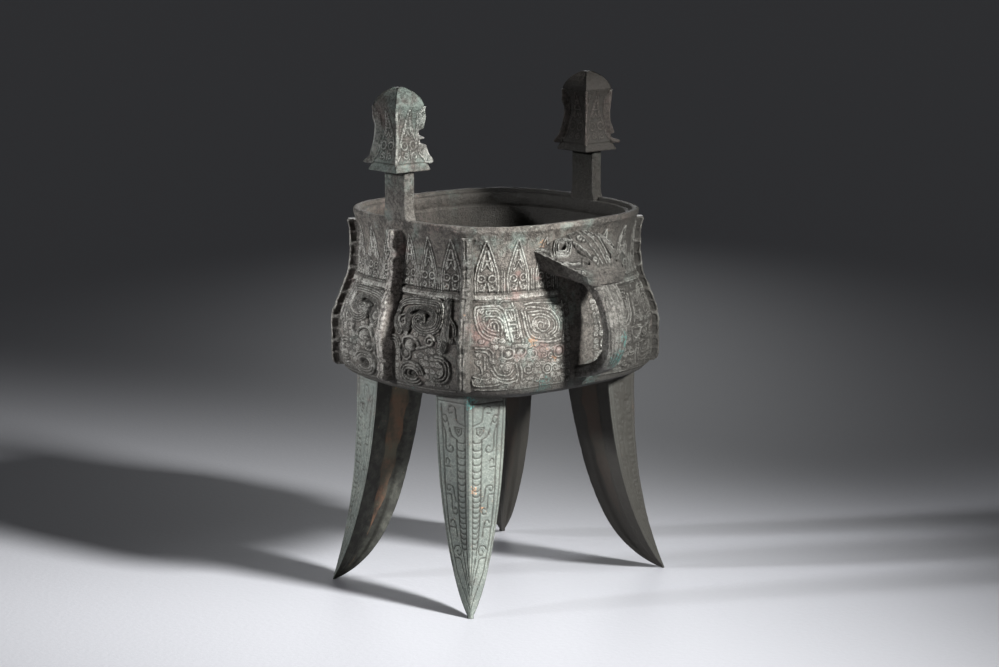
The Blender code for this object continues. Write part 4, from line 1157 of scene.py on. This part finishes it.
def leg_sheet(leg, bowl, relief, mesh, seed):
    """A leg as one closed sheet round its outer and inner faces, and how much clay shows at each point."""
    step, face_steps = mesh
    low_down = np.linspace(0.97, 1.0, 14)[1:]
    shares = np.concatenate([np.linspace(0.0, 0.97, int(leg.height / step)), low_down])
    tall = leg.height * MM
    sheet = Drawing(np.linspace(0, FACE_MM, face_steps), np.sort(tall * (1 - shares)))
    leg_ornament(sheet, tall)
    face = np.linspace(0, 1, face_steps, endpoint=False).tolist()
    back = np.linspace(0, 1, face_steps * 3 // 4, endpoint=False).tolist()
    points, cut, clay = [], [], []
    for share, cuts in zip(shares.tolist(), sheet.cut[::-1]):
        ridge, (edge_a, edge_b), inner = leg.section(share)
        core = float(smooth_step(1.0, 0.84, share) * smooth_step(0.035, 0.06, share))
        half_core = 0.200 * math.sqrt(max(0.0, 1 - (share / 0.74) ** 2.0))
        half_core += 0.02 * math.sin(share * 41 + seed * 9)
        line, marks, cores = [], [], []
        for start, end, outer, ahead in ((ridge, edge_a, True, True), (edge_a, inner, False, True),
                                         (inner, edge_b, False, False), (edge_b, ridge, True, False)):
            run = end - start
            normal = Vector((run.y, -run.x, 0)).normalized()
            for t in face if outer else back:
                place = t if ahead else 1 - t
                spot, mark, shown = start + run * t, 0.0, 0.0
                if outer:
                    # the ridge and the edge are rounded off, and the lines are cut in
                    by_ridge = max(0.0, 1 - place * run.length / 0.0022)
                    by_edge = max(0.0, 1 - (1 - place) * run.length / 0.0016)
                    mark = cuts[min(int(place * face_steps), face_steps - 1)]
                    spot += normal * (-0.0005 * (by_ridge ** 2 + by_edge ** 2) - mark * relief.cut)
                else:
                    sunk = float(smooth_step(0.30, 0.335, place) * smooth_step(0.74, 0.705, place)) * core
                    spot -= normal * leg.sizes.recess * sunk
                    beside = abs(place - 0.52)
                    shown = smooth_step(half_core + 0.02, half_core - 0.03, beside) * (share > 0.03)
                line.append(tuple(spot))
                marks.append(mark)
                cores.append(shown)
        points.append(line)
        cut.append(marks)
        clay.append(cores)
    points, cut, clay = np.array(points), np.array(cut), np.array(clay)
    # under the bowl the tops stay within the thickness of its bottom
    x, y = points[..., 0], points[..., 1]
    inset = bowl.radius(bowl.low, np.arctan2(y, x)) - np.hypot(x, y)
    points[..., 2] = np.minimum(points[..., 2], bowl.low - 0.0055 * clamp(inset / 0.018))
    points[..., 1] += leg.axis_y
    lift = corroded(points + seed, relief.pitting * 0.55) * smooth_step(0.0, 0.006, points[..., 2])
    points = eased_away(points, lift, level=True)
    # the sole is drawn together
    points = np.vstack([points, drawn_in(points[-1], 0.02)])
    cut, clay = np.vstack([cut, cut[-1:]]), np.vstack([clay, clay[-1:]])
    raised = np.zeros(cut.shape)
    raised[:, :face_steps] = raised[:, -face_steps:] = 1.0
    return {"points": points, "closed": True, "cut": cut, "raised": raised}, clay


class JIA_OT_legs(bpy.types.Operator):
    """Builds the four splayed blade legs with their cut ornament and clay cores"""

    bl_idname = "jia.legs"
    bl_label = "Legs"

    def execute(self, context):
        scene = context.scene
        bowl, relief = Bowl(scene.jia_bowl), scene.jia_relief
        bronze = leg_bronze("bronze_legs", scene.jia_patina)
        for count, corner in enumerate(LEG_SPOTS):
            leg = Leg(scene.jia_legs, scene.jia_bowl.low_z, corner, bowl.axis_y)
            mesh = NEAR_MESH if corner == NEAR_LEG else FAR_MESH
            sheet, clay = leg_sheet(leg, bowl, relief, mesh, 0.1 * count)
            piece = make_piece(f"leg_{count}", [sheet], bronze)
            layer = piece.data.attributes.new("clay", "FLOAT", "POINT")
            layer.data.foreach_set("value", clay.reshape(-1).astype(np.float32))
        return {"FINISHED"}


# Tones of the legs: the outer faces' two, the stains on them and the shade under the bowl, the bare inner
# faces' two, and the crust over the clay
LEG_PALE = ((0.074, 0.084, 0.074), (0.148, 0.160, 0.138))
LEG_STAIN = (0.042, 0.038, 0.032)
LEG_SHADE = (0.048, 0.043, 0.038)
LEG_INNER = ((0.016, 0.015, 0.011), (0.056, 0.056, 0.045))
LEG_CRUST = (0.095, 0.088, 0.058)


def leg_bronze(name, patina):
    """The legs' bronze: pale grey green outside, dark olive inside, with fired clay in the recesses."""
    shading = Shading(name)
    outside, cut, clay = shading.marked("raised"), shading.marked("cut"), shading.marked("clay")
    cloud, mottle = shading.noise(30.0, 5.0, 0.6), shading.noise(120.0, 5.0, 0.65)
    grain, speck = shading.noise(520.0, 4.0, 0.7), shading.noise(1500.0, 2.0, 0.6)
    streak = shading.noise(60.0, 5.0, 0.6, (1.0, 1.0, 0.12))
    z = shading.along("Z")
    pale = shading.mix(*LEG_PALE, (cloud * 0.5 + grain * 0.5).over(0.42, 0.60))
    pale = shading.mix(pale, LEG_STAIN, (mottle * 0.55 + speck * 0.45).over(0.50, 0.64) * 0.70)
    pale = shading.mix(pale, LEG_SHADE, z.over(0.128, 0.172) * cloud.over(0.40, 0.55) * 0.75)
    dark = shading.mix(*LEG_INNER, (mottle * 0.6 + cloud * 0.4).over(0.40, 0.66))
    tone = shading.mix(dark, pale, outside)
    core = shading.mix(patina.clay, patina.soil, (streak * 0.6 + mottle * 0.4).over(0.46, 0.62) * 0.85)
    # a crust of green corrosion lies over the clay below the bowl and again half way down
    crust = z.over(0.098, 0.108) * (1 - z.over(0.114, 0.124)) + z.over(0.150, 0.166)
    ragged = (cloud * 0.5 + mottle * 0.5).over(0.44, 0.54)
    core = shading.mix(core, LEG_CRUST, (crust * 0.9).most(ragged * 0.35) * (0.45 + ragged * 0.55))
    tone = shading.mix(tone, core, (clay + mottle * 0.5 - 0.25).over(0.35, 0.75))
    # the spots, and painted shade darkening the legs towards the right
    tone = patches_and_right_shade(shading, tone, patina, grain, mottle)
    tone = shading.mix(tone, patina.soil, cut * 0.9)
    rough = 0.70 + cut * 0.15 - outside * 0.08
    bumps = rough_skin(shading, mottle, grain, speck, 0.0006, 0.0002)
    return shading.finish(Base_Color=tone, Roughness=rough, Metallic=0.15, Normal=bumps)


def cap_half(sizes, height):
    """Half the width of a cap at a height above its foot, roof included."""
    lower = blend(sizes.waist, sizes.base, clamp(1 - height / sizes.waist_z) ** 1.7) / 2
    rise = clamp((height - sizes.waist_z) / (sizes.shoulder_z - sizes.waist_z))
    upper = blend(sizes.waist, sizes.shoulder, rise ** 1.8) / 2
    roof = np.interp(height, (sizes.shoulder_z, 0.0545, 0.0586, 0.0629, 0.0656, sizes.cap),
                     (sizes.shoulder / 2, 0.0148, 0.0126, 0.0091, 0.0052, 0.0040))
    return np.where(height <= sizes.waist_z, lower, np.where(height <= sizes.shoulder_z, upper, roof))


# Raised lines on half of a cap's face, in millimetres from its middle and its foot, with their widths
CAP_LINES = (
    (((0.4, 49), (3.4, 36.5), (6.4, 27), (8.6, 22)), 1.0), (((0.4, 43), (2.4, 35), (4.2, 28.5)), 0.9),
    (((4.2, 28.5), (2.2, 28), (0, 31.5)), 0.9), (((9.4, 20), (10, 14), (13.2, 9)), 1.0),
    (((8.8, 46), (9.6, 36), (10.4, 28)), 0.8),
)


def cap_ornament(sheet):
    """Raised lines on one face of a cap: a tall leaf over a pair of ring eyes and their curls."""
    for sign in (-1, 1):
        for line, width in CAP_LINES:
            sheet.ridge(bend(mirrored(line, sign)), width)
        sheet.ring(sign * 4.6, 20.6, 3.2, 1.0)
        sheet.ridge(curl(sign * 4.6, 12.4, 2.8, 2.6, 1.2, 0.25, 3.0, 0.25, sign=sign), 0.9)
        sheet.ridge(mirrored(((1.0, 17.0), (1.2, 9.6)), sign), 0.8)
    sheet.ridge(((-2.6, 34.6), (2.6, 34.6)), 0.8)
    sheet.groove(((-16.5, 6.4), (16.5, 6.4)), 0.8)


# A cap's drawing: the points across a face, and half its width in millimetres
CAP_COLUMNS = 62
CAP_HALF_MM = 19
# Where fins are broken away: the post's side, the fin's corner, and the break's height and half length
LOST_FINS = ((-1, (1, -1), 0.0300, 0.0042), (1, (1, -1), 0.0115, 0.0034), (-1, (1, -1), 0.0230, 0.0030))


class JIA_OT_posts(bpy.types.Operator):
    """Builds the two posts on the rim with their waisted, ridged caps"""

    bl_idname = "jia.posts"
    bl_label = "Posts and caps"

    def execute(self, context):
        scene = context.scene
        bowl, sizes, relief = Bowl(scene.jia_bowl), scene.jia_posts, scene.jia_relief
        plain, pale, reddish = [old_bronze(name, scene.jia_patina) for name in
                                ("bronze_stems", "bronze_cap_left", "bronze_cap_right")]
        for side, word, bronze in ((-1, "left", pale), (1, "right", reddish)):
            centre = np.array([side * sizes.reach, bowl.axis_y])
            make_piece(f"stem_{word}", [self.stem(bowl, sizes, relief, centre)], plain)
            sheets = [self.cap(bowl, sizes, relief, centre)]
            sheets += [self.ridge(bowl, sizes, centre, (sx, sy), side) for sx in (-1, 1) for sy in (-1, 1)]
            make_piece(f"cap_{word}", sheets, bronze)
        return {"FINISHED"}

    def cap(self, bowl, sizes, relief, centre):
        """A cap's four faces and its roof, from foot to top."""
        levels = (0.0, 0.0012, sizes.shoulder_z, sizes.cap)
        heights = np.concatenate([np.linspace(low, high, count, endpoint=False) for low, high, count in
                                  zip(levels, levels[1:], (2, 85, 15))] + [levels[-1:]])
        sheet = Drawing(np.linspace(-CAP_HALF_MM, CAP_HALF_MM, CAP_COLUMNS), heights * MM)
        cap_ornament(sheet)
        # around the square: each face runs from corner to corner
        t, ones = np.linspace(-1, 1, CAP_COLUMNS, endpoint=False), np.ones(CAP_COLUMNS)
        x, y = np.concatenate([t, ones, -t, -ones]), np.concatenate([-ones, t, ones, -t])
        half = cap_half(sizes, heights)[:, None]
        half = half - 0.0006 * clamp(1 - heights[:, None] / 0.0012)
        spots = sheet.under(np.tile(t, 4)[None, :] * half * MM)
        below = smooth_step(sizes.shoulder_z + 0.001, sizes.shoulder_z - 0.002, heights)[:, None]
        # painted shade beside the raised lines joins the cut lines in the cut amount
        cut, raised, shade_beside_raised = [layer[spots] * below for layer in (sheet.cut, sheet.thread, sheet.shade_beside_raised())]
        z = (bowl.rim + sizes.stem + heights)[:, None]
        points = np.stack([centre[0] + x * half, centre[1] + y * half, z + 0 * x], -1)
        on_edge = np.maximum(np.abs(x), np.abs(y)) == np.abs(np.stack([x, y]))
        lift = corroded(points, relief.pitting) - cut * relief.cut + (raised - 1) * relief.thread * 0.8
        points[..., :2] += (np.stack([x, y]) * on_edge).T[None] * lift[..., None]
        points = np.vstack([drawn_in(points[0], 0.3), points, drawn_in(points[-1], 0.02)])
        return {"points": points, "closed": True, "cut": with_ends(clamp(cut + shade_beside_raised)),
                "raised": clamp(0.08 + with_ends(raised))}

    def stem(self, bowl, sizes, relief, centre):
        """A stem, from under the rim to inside the cap."""
        z = np.linspace(bowl.rim - 0.012, bowl.rim + sizes.stem + 0.0015, 60)[:, None]
        half_x, half_y = sizes.through / 2, sizes.across / 2
        corners = [(half_x * sx, half_y * sy) for sx, sy in ((1, -1), (1, 1), (-1, 1), (-1, -1), (1, -1))]
        x, y = spaced(corners, (30, 12, 30, 12))[..., :-1]
        round_off = 0.06 * smooth_step(0.75, 1.0, np.abs(x) / half_x)
        round_off = 1 - round_off * smooth_step(0.9, 1.0, np.abs(y) / half_y)
        # the foot spreads along the rim; outside it draws in under the lip, inside it ends on the ledge
        foot = 1 + 0.16 * clamp(1 - (z - bowl.rim) / 0.009) ** 2
        outer = x * np.sign(centre[0]) > 0
        slope = -np.sign(centre[0]) * 0.0056 * clamp((bowl.rim - z) / 0.012) * outer
        height = np.where(outer, z, np.maximum(z, bowl.rim - bowl.sizes.rim_step - 0.0006))
        points = np.stack([centre[0] + x * round_off + slope, centre[1] + y * round_off * foot, height], -1)
        points[..., :2] += corroded(points, relief.pitting * 1.3)[..., None] * 0.7
        return {"points": points, "closed": True, "raised": 0.3}

    def ridge(self, bowl, sizes, centre, corner, side):
        """A corner ridge of a cap: a thin fin, broken away in places."""
        heights = np.linspace(0.0056, sizes.shoulder_z - 0.0008, 76)
        out = np.linspace(0, 1, 8)
        outline = np.concatenate([out, out[::-1]])[None, :]
        half = np.full(8, 0.0011)
        aside = np.concatenate([-half, half])[None, :] * (1 - 0.35 * outline ** 4)
        spike = np.exp(-((heights - 0.0072) / 0.0034) ** 2)
        top = smooth_step(0.0400, sizes.shoulder_z, heights)
        reach = sizes.ridge * (1 + 0.5 * spike - 0.55 * clamp(1 - (heights - 0.0056) / 0.0012) - 0.85 * top)
        flat = 0 * heights
        spots = np.stack([heights, flat + corner[0] * 0.03 + side * 0.2, flat + corner[1] * 0.05], -1)
        reach = reach * (1 - 0.30 * clamp(lumps(spots, 0.006, 51) + 0.2))
        for lost_side, lost, height, tall in LOST_FINS:
            if (lost_side, lost) == (side, corner):
                reach = reach * smooth_step(0.35, 1.0, np.abs(heights - height) / tall)
        diagonal = np.array(corner) / math.sqrt(2)
        r = cap_half(sizes, heights)[:, None] * math.sqrt(2) - 0.0025 + outline * (reach[:, None] + 0.0025)
        x = centre[0] + diagonal[0] * r - diagonal[1] * aside
        y = centre[1] + diagonal[1] * r + diagonal[0] * aside
        points = np.stack([x, y, (bowl.rim + sizes.stem + heights)[:, None] + 0 * x], -1)
        points = np.vstack([drawn_in(points[0], 0.1), points, drawn_in(points[-1], 0.1)])
        return {"points": points, "closed": True, "raised": 0.9}


def strap_line(bowl, sizes):
    """The middle line of the strap, as out and up distances."""
    wall = bowl.sizes.neck_depth / 2 - 0.0020
    low_wall = float(bowl.outside(sizes.low_z)[1]) - 0.0036
    out = sizes.reach - sizes.thickness / 2
    shares = ((0.00, -0.05), (0.46, -0.02), (0.68, 0.065), (0.84, 0.17), (0.935, 0.30), (0.99, 0.45),
              (0.985, 0.605), (0.92, 0.74), (0.72, 0.866), (0.38, 0.95), (0.00, 1.00))
    spots = [(blend(wall if down < 0.5 else low_wall, out, across), blend(sizes.top_z, sizes.low_z, down))
             for across, down in shares]
    return bend(spots, 14)


# Points round the strap
STRAP_STEPS = 124
# The head's drawing: the points across it, and half its width in millimetres
HEAD_COLUMNS = 420
HEAD_HALF_MM = 48
# How far each row of the muzzle's blunt front is drawn in
MUZZLE_KEEPS = (0.98, 0.95, 0.90, 0.84, 0.77, 0.70, 0.62, 0.54, 0.46, 0.38, 0.30, 0.22, 0.14, 0.02)
# Half of the head seen from above: raised lines and cut lines, in millimetres from its middle and the wall
HEAD_LINES = (
    (((40, 5), (34.5, 14), (34, 22), (27, 31), (20, 36)), 1.2),
    (((42.5, 4), (37.5, 13), (33, 27), (26, 37), (21, 43)), 1.2),
    (((13.5, 4), (11.5, 12), (14, 20), (11.4, 28), (9.2, 36)), 1.3),
    (((34, 5), (26, 6.4), (18, 5), (13, 8)), 1.1), (((30, 8.4), (24, 8.6), (18.6, 9.6)), 1.0),
    (((3.2, 4), (2.6, 16), (3.4, 28), (2.4, 43)), 1.1),
)
HEAD_CUTS = (
    (((23.2, 19), (24.8, 20.2)), 3.4, 1.6), (((16.2, 38.2), (14.6, 39.4)), 3.0, 1.8),
    (((11.6, 37), (10.6, 38)), 1.6, 1.4),
)
# Curls down the head's middle: the spot, width and height, turns, start, squareness, way round and line width
HEAD_CURLS = (
    (7.0, 40.0, 2.6, 2.4, 1.2, 0.25, 2.0, 1, 0.9), (6.4, 21.0, 3.0, 3.4, 1.3, 0.25, 3.0, 1, 1.0),
    (7.6, 10.6, 2.8, 3.2, 1.2, 0.7, 3.0, -1, 1.0),
)


class JIA_OT_handle(bpy.types.Operator):
    """Builds the strap handle and the animal head over it"""

    bl_idname = "jia.handle"
    bl_label = "Handle and head"

    def execute(self, context):
        scene = context.scene
        bowl, sizes, relief = Bowl(scene.jia_bowl), scene.jia_handle, scene.jia_relief
        bronze = old_bronze("bronze_handle", scene.jia_patina)
        make_piece("handle_strap", [self.strap(bowl, sizes, relief)], bronze)
        make_piece("handle_head", [self.head(bowl, sizes, relief)], bronze)
        return {"FINISHED"}

    def strap(self, bowl, sizes, relief):
        """The strap, swept along its line with a long pointed leaf cut down its front."""
        line = strap_line(bowl, sizes)
        way = np.gradient(line, axis=0)
        way /= np.linalg.norm(way, axis=1, keepdims=True)
        turn = whole_turn(STRAP_STEPS)
        c, s = np.cos(turn), np.sin(turn)
        size = squarish(c, s, 5)
        fallen = clamp((sizes.top_z - line[:, 1:]) / (sizes.top_z - sizes.low_z))
        x = blend(sizes.width, sizes.low_width, fallen) / 2 * (size * c)[None, :]
        n = (sizes.thickness / 2 * size * s)[None, :]
        y = -(line[:, :1] + way[:, 1:] * n)
        z = line[:, 1:] - way[:, :1] * n
        points = np.stack([x, y + bowl.axis_y, z], -1)
        share = np.linspace(0, 1, len(line))[:, None]
        leaf = np.sqrt(clamp(1 - ((share - 0.42) / 0.36) ** 2)) * (np.abs(s) > 0.6)[None, :]
        groove = np.zeros(x.shape)
        for part in (0.80, 0.48, 0.0):
            apart = np.abs(np.abs(x) - part * leaf * sizes.width / 2)
            groove = np.maximum(groove, smooth_step(0.0008, 0.0003, apart))
        groove = groove * (leaf > 0.05) * (0.55 + 0.35 * lumps(points, 0.007, 61))
        lift = corroded(points, relief.pitting * 1.1) - groove * relief.cut
        return {"points": eased_away(points, lift), "closed": True, "raised": 0.4, "cut": clamp(groove)}

    def head(self, bowl, sizes, relief):
        """The head as a closed sheet from the wall to the muzzle, with its face drawn on the top."""
        share = np.linspace(0, 1, 120)
        half = blend(sizes.head_half, sizes.nose_half, share)
        top = sizes.head_top - 0.0270 * share ** 2.4
        edge, low = blend(0.2955, 0.2745, share), blend(0.2745, 0.2655, share)
        low_half = half * 0.84
        wall = bowl.sizes.neck_depth / 2 - 0.0075
        y = -blend(wall, sizes.head_reach, share)
        # round the section: over the top from edge to edge, then back underneath
        across = np.sin(np.linspace(-math.pi / 2, math.pi / 2, 156))
        x_top = half[:, None] * across[None, :]
        z_top = blend(top[:, None], edge[:, None], np.abs(across[None, :]) ** 1.6)
        right = [(half, edge), (blend(half, low_half, 0.75), blend(edge, low, 0.7)), (low_half * 0.8, low)]
        steps = [(start, end, t) for start, end in zip(right, right[1:]) for t in np.linspace(0, 1, 16)[1:]]
        x_side, z_side = [np.stack([blend(start[axis], end[axis], t) for start, end, t in steps], -1)
                          for axis in (0, 1)]
        bottom = np.linspace(1, -1, 26)[None, 1:-1] * x_side[:, -1:]
        x = np.hstack([x_top, x_side, bottom, -x_side[:, ::-1]])
        z = np.hstack([z_top, z_side, 0 * bottom + low[:, None], z_side[:, ::-1]])
        points = np.stack([x, y[:, None] + bowl.axis_y + 0 * x, z], -1)
        sheet = Drawing(np.linspace(-HEAD_HALF_MM, HEAD_HALF_MM, HEAD_COLUMNS),
                        share * (sizes.head_reach - wall) * MM)
        self.face(sheet)
        spots = sheet.under(x_top * MM)
        thread, form, cuts, shade_beside_raised = [layer[spots] for layer in
                                    (sheet.thread, sheet.form, sheet.cut, sheet.shade_beside_raised())]
        quiet = smooth_step(1.0, 0.93, np.abs(across))[None, :] * smooth_step(1.0, 0.96, share)[:, None]
        lift, cut, raised = np.zeros(x.shape), np.zeros(x.shape), np.full(x.shape, 0.15)
        high = thread * relief.thread * 1.5 + form * relief.form * 1.5 - cuts * relief.cut * 2.6
        lift[:, :across.size] = high * quiet
        # painted shade beside the raised lines joins the cut lines in the cut amount
        cut[:, :across.size] = clamp(cuts + shade_beside_raised) * quiet
        raised[:, :across.size] = clamp(thread * 1.2 + 0.06)
        points[..., 2] += lift + corroded(points, relief.pitting * 1.5)
        # the muzzle's blunt front, in rows drawn together and eased out
        rows = [drawn_in(points[-1], keep)[0] for keep in MUZZLE_KEEPS]
        for row, keep in zip(rows, MUZZLE_KEEPS):
            rugged = 0.0007 * lumps(row, 0.0045, 71)
            row[:, 1] -= 0.0021 * (1 - keep ** 8) - corroded(row, relief.pitting * 3) + rugged
        holes = [clamp(1.6 * lumps(row, 0.0045, 71)) for row in rows]
        points = np.vstack([points, [*rows]])
        cut, raised = np.vstack([cut, *holes]), np.vstack([raised, np.zeros((len(rows), x.shape[1]))])
        return {"points": points, "closed": True, "cut": cut, "raised": raised, "flip": True}

    def face(self, sheet):
        """The animal head seen from above: coiled eyes, brows, nostrils and a ridge between them."""
        for sign in (-1, 1):
            # the eye is a coil in a rounded diamond, with a deep pupil
            sheet.boss(sign * 24.0, 19.5, 11.5, 0.9)
            for size in (8.8, 6.7, 4.7):
                sheet.ridge(curl(sign * 24.0, 19.5, size, size * 0.86, 1.0, 0.0, 1.3, 0.98), 1.15)
            for size in (7.75, 5.7):
                sheet.groove(curl(sign * 24.0, 19.5, size, size * 0.86, 1.0, 0.0, 1.3, 0.98), 0.7, 1.2)
            # the nostril's swelling, the brow's deep line and all other lines
            sheet.boss(sign * 14.8, 38.4, 4.6, 0.9)
            sheet.groove(bend(mirrored(((15.9, 21.0), (15.2, 28.7), (12.7, 35.6)), sign)), 1.5, 1.6)
            for line, width in HEAD_LINES:
                sheet.ridge(bend(mirrored(line, sign)), width)
            for line, width, deep in HEAD_CUTS:
                sheet.groove(mirrored(line, sign), width, deep)
            for x, y, wide, tall, turns, start, power, way, width in HEAD_CURLS:
                sheet.ridge(curl(sign * x, y, wide, tall, turns, start, power, 0.2, sign=sign * way), width)
            # short strokes down the cheek
            for step in range(7):
                x, up = sign * blend(39.5, 24.5, step / 6), blend(12.5, 41.5, step / 6)
                sheet.groove(((x, up), (x - sign * 1.6, up - 0.9)), 0.9, 1.0)


# Height of the middle of the picture, and how far right of it and below it the camera aims
MIDDLE_Z = 0.21
OFF_MIDDLE = 0.00319
FLOOR_SIDES = 96
FLOOR_RINGS = (0.0, 0.5, 2.0, 12.0)


class JIA_OT_stage(bpy.types.Operator):
    """Sets the pale floor, the soft studio lights and the camera"""

    bl_idname = "jia.stage"
    bl_label = "Floor, lights and camera"

    def execute(self, context):
        scene = context.scene
        stage = scene.jia_stage
        self.floor(stage)
        scene.world = bpy.data.worlds.new("studio")
        scene.world.use_nodes = True
        sky = scene.world.node_tree.nodes["Background"]
        sky.inputs["Color"].default_value = (0.93, 0.96, 1.0, 1.0)
        sky.inputs["Strength"].default_value = stage.sky
        middle = Vector((0.0, Bowl(scene.jia_bowl).axis_y, MIDDLE_Z))
        under, aside = middle - Vector((0, 0, 0.04)), Vector((-0.21, -0.11, 0.12))
        self.light("key", (0.49, -1.82, 1.31), aside, 0.34, stage.key, (0.975, 1, 1), 32)
        self.light("back", (1.5, 1.6, 0.75), middle, 0.9, stage.back, (0.96, 0.98, 1), 60)
        self.light("fill", (-1.70, 1.02, 0.80), under, 0.3, stage.fill, (0.94, 0.97, 1), 12)
        turn, rise = math.radians(stage.turn), math.radians(stage.rise)
        back = Vector((-math.sin(turn) * math.cos(rise), -math.cos(turn) * math.cos(rise), math.sin(rise)))
        right = Vector((math.cos(turn), -math.sin(turn), 0))
        target = middle + (right - back.cross(right)) * OFF_MIDDLE
        camera = bpy.data.objects.new("camera", bpy.data.cameras.new("camera"))
        bpy.context.collection.objects.link(camera)
        camera.data.lens, camera.data.sensor_width, camera.data.clip_end = stage.lens, 36.0, 100.0
        camera.location = target + back * stage.distance
        camera.rotation_euler = (target - camera.location).to_track_quat("-Z", "Y").to_euler()
        scene.camera = camera
        scene.view_settings.view_transform = "Standard"
        return {"FINISHED"}

    def light(self, name, spot, target, size, power, tint, spread):
        lamp = bpy.data.lights.new(name, "AREA")
        lamp.spread = math.radians(spread)
        lamp.shape, lamp.size, lamp.energy, lamp.color = "DISK", size, power, tint
        holder = bpy.data.objects.new(name, lamp)
        holder.location = spot
        holder.rotation_euler = (target - Vector(spot)).to_track_quat("-Z", "Y").to_euler()
        bpy.context.collection.objects.link(holder)

    def floor(self, stage):
        angle = whole_turn(FLOOR_SIDES)
        rings = [np.stack([r * np.cos(angle), r * np.sin(angle), 0 * angle], -1) for r in FLOOR_RINGS]
        mesh = bpy.data.meshes.new("floor")
        mesh.from_pydata(np.vstack(rings), [], sheet_faces(len(FLOOR_RINGS), FLOOR_SIDES, closed=True))
        shading = Shading("floor_paper")
        grain = shading.noise(220.0, 4.0, 0.6)
        tone = shading.mix(stage.floor, [0.94 * c for c in stage.floor], grain)
        paper = shading.finish(Base_Color=tone, Roughness=0.62, Normal=shading.bump(grain, 0.0002))
        mesh.materials.append(paper)
        floor = bpy.data.objects.new("floor", mesh)
        bpy.context.collection.objects.link(floor)


class JIA_PT_panel(bpy.types.Panel):
    """Lists the vessel's parts and their sizes"""

    bl_idname = "JIA_PT_panel"
    bl_label = "Square bronze jia"
    bl_space_type = "VIEW_3D"
    bl_region_type = "UI"
    bl_category = "Jia"

    def draw(self, context):
        for operator in OPERATORS:
            self.layout.operator(operator.bl_idname)
        for key, group in GROUPS.items():
            box = self.layout.box()
            box.label(text=group.__doc__)
            for name in group.__annotations__:
                box.prop(getattr(context.scene, key), name)


OPERATORS = (
    JIA_OT_bowl, JIA_OT_inside, JIA_OT_flanges, JIA_OT_legs, JIA_OT_posts, JIA_OT_handle, JIA_OT_stage,
)
CLASSES = (*GROUPS.values(), *OPERATORS, JIA_PT_panel)


def register():
    for one in CLASSES:
        bpy.utils.register_class(one)
    for key, group in GROUPS.items():
        setattr(bpy.types.Scene, key, PointerProperty(type=group))


def unregister():
    for key in GROUPS:
        delattr(bpy.types.Scene, key)
    for one in reversed(CLASSES):
        bpy.utils.unregister_class(one)


def main():
    register()
    bpy.ops.jia.bowl()
    bpy.ops.jia.inside()
    bpy.ops.jia.flanges()
    bpy.ops.jia.legs()
    bpy.ops.jia.posts()
    bpy.ops.jia.handle()
    bpy.ops.jia.stage()


if __name__ == "__main__":
    main()
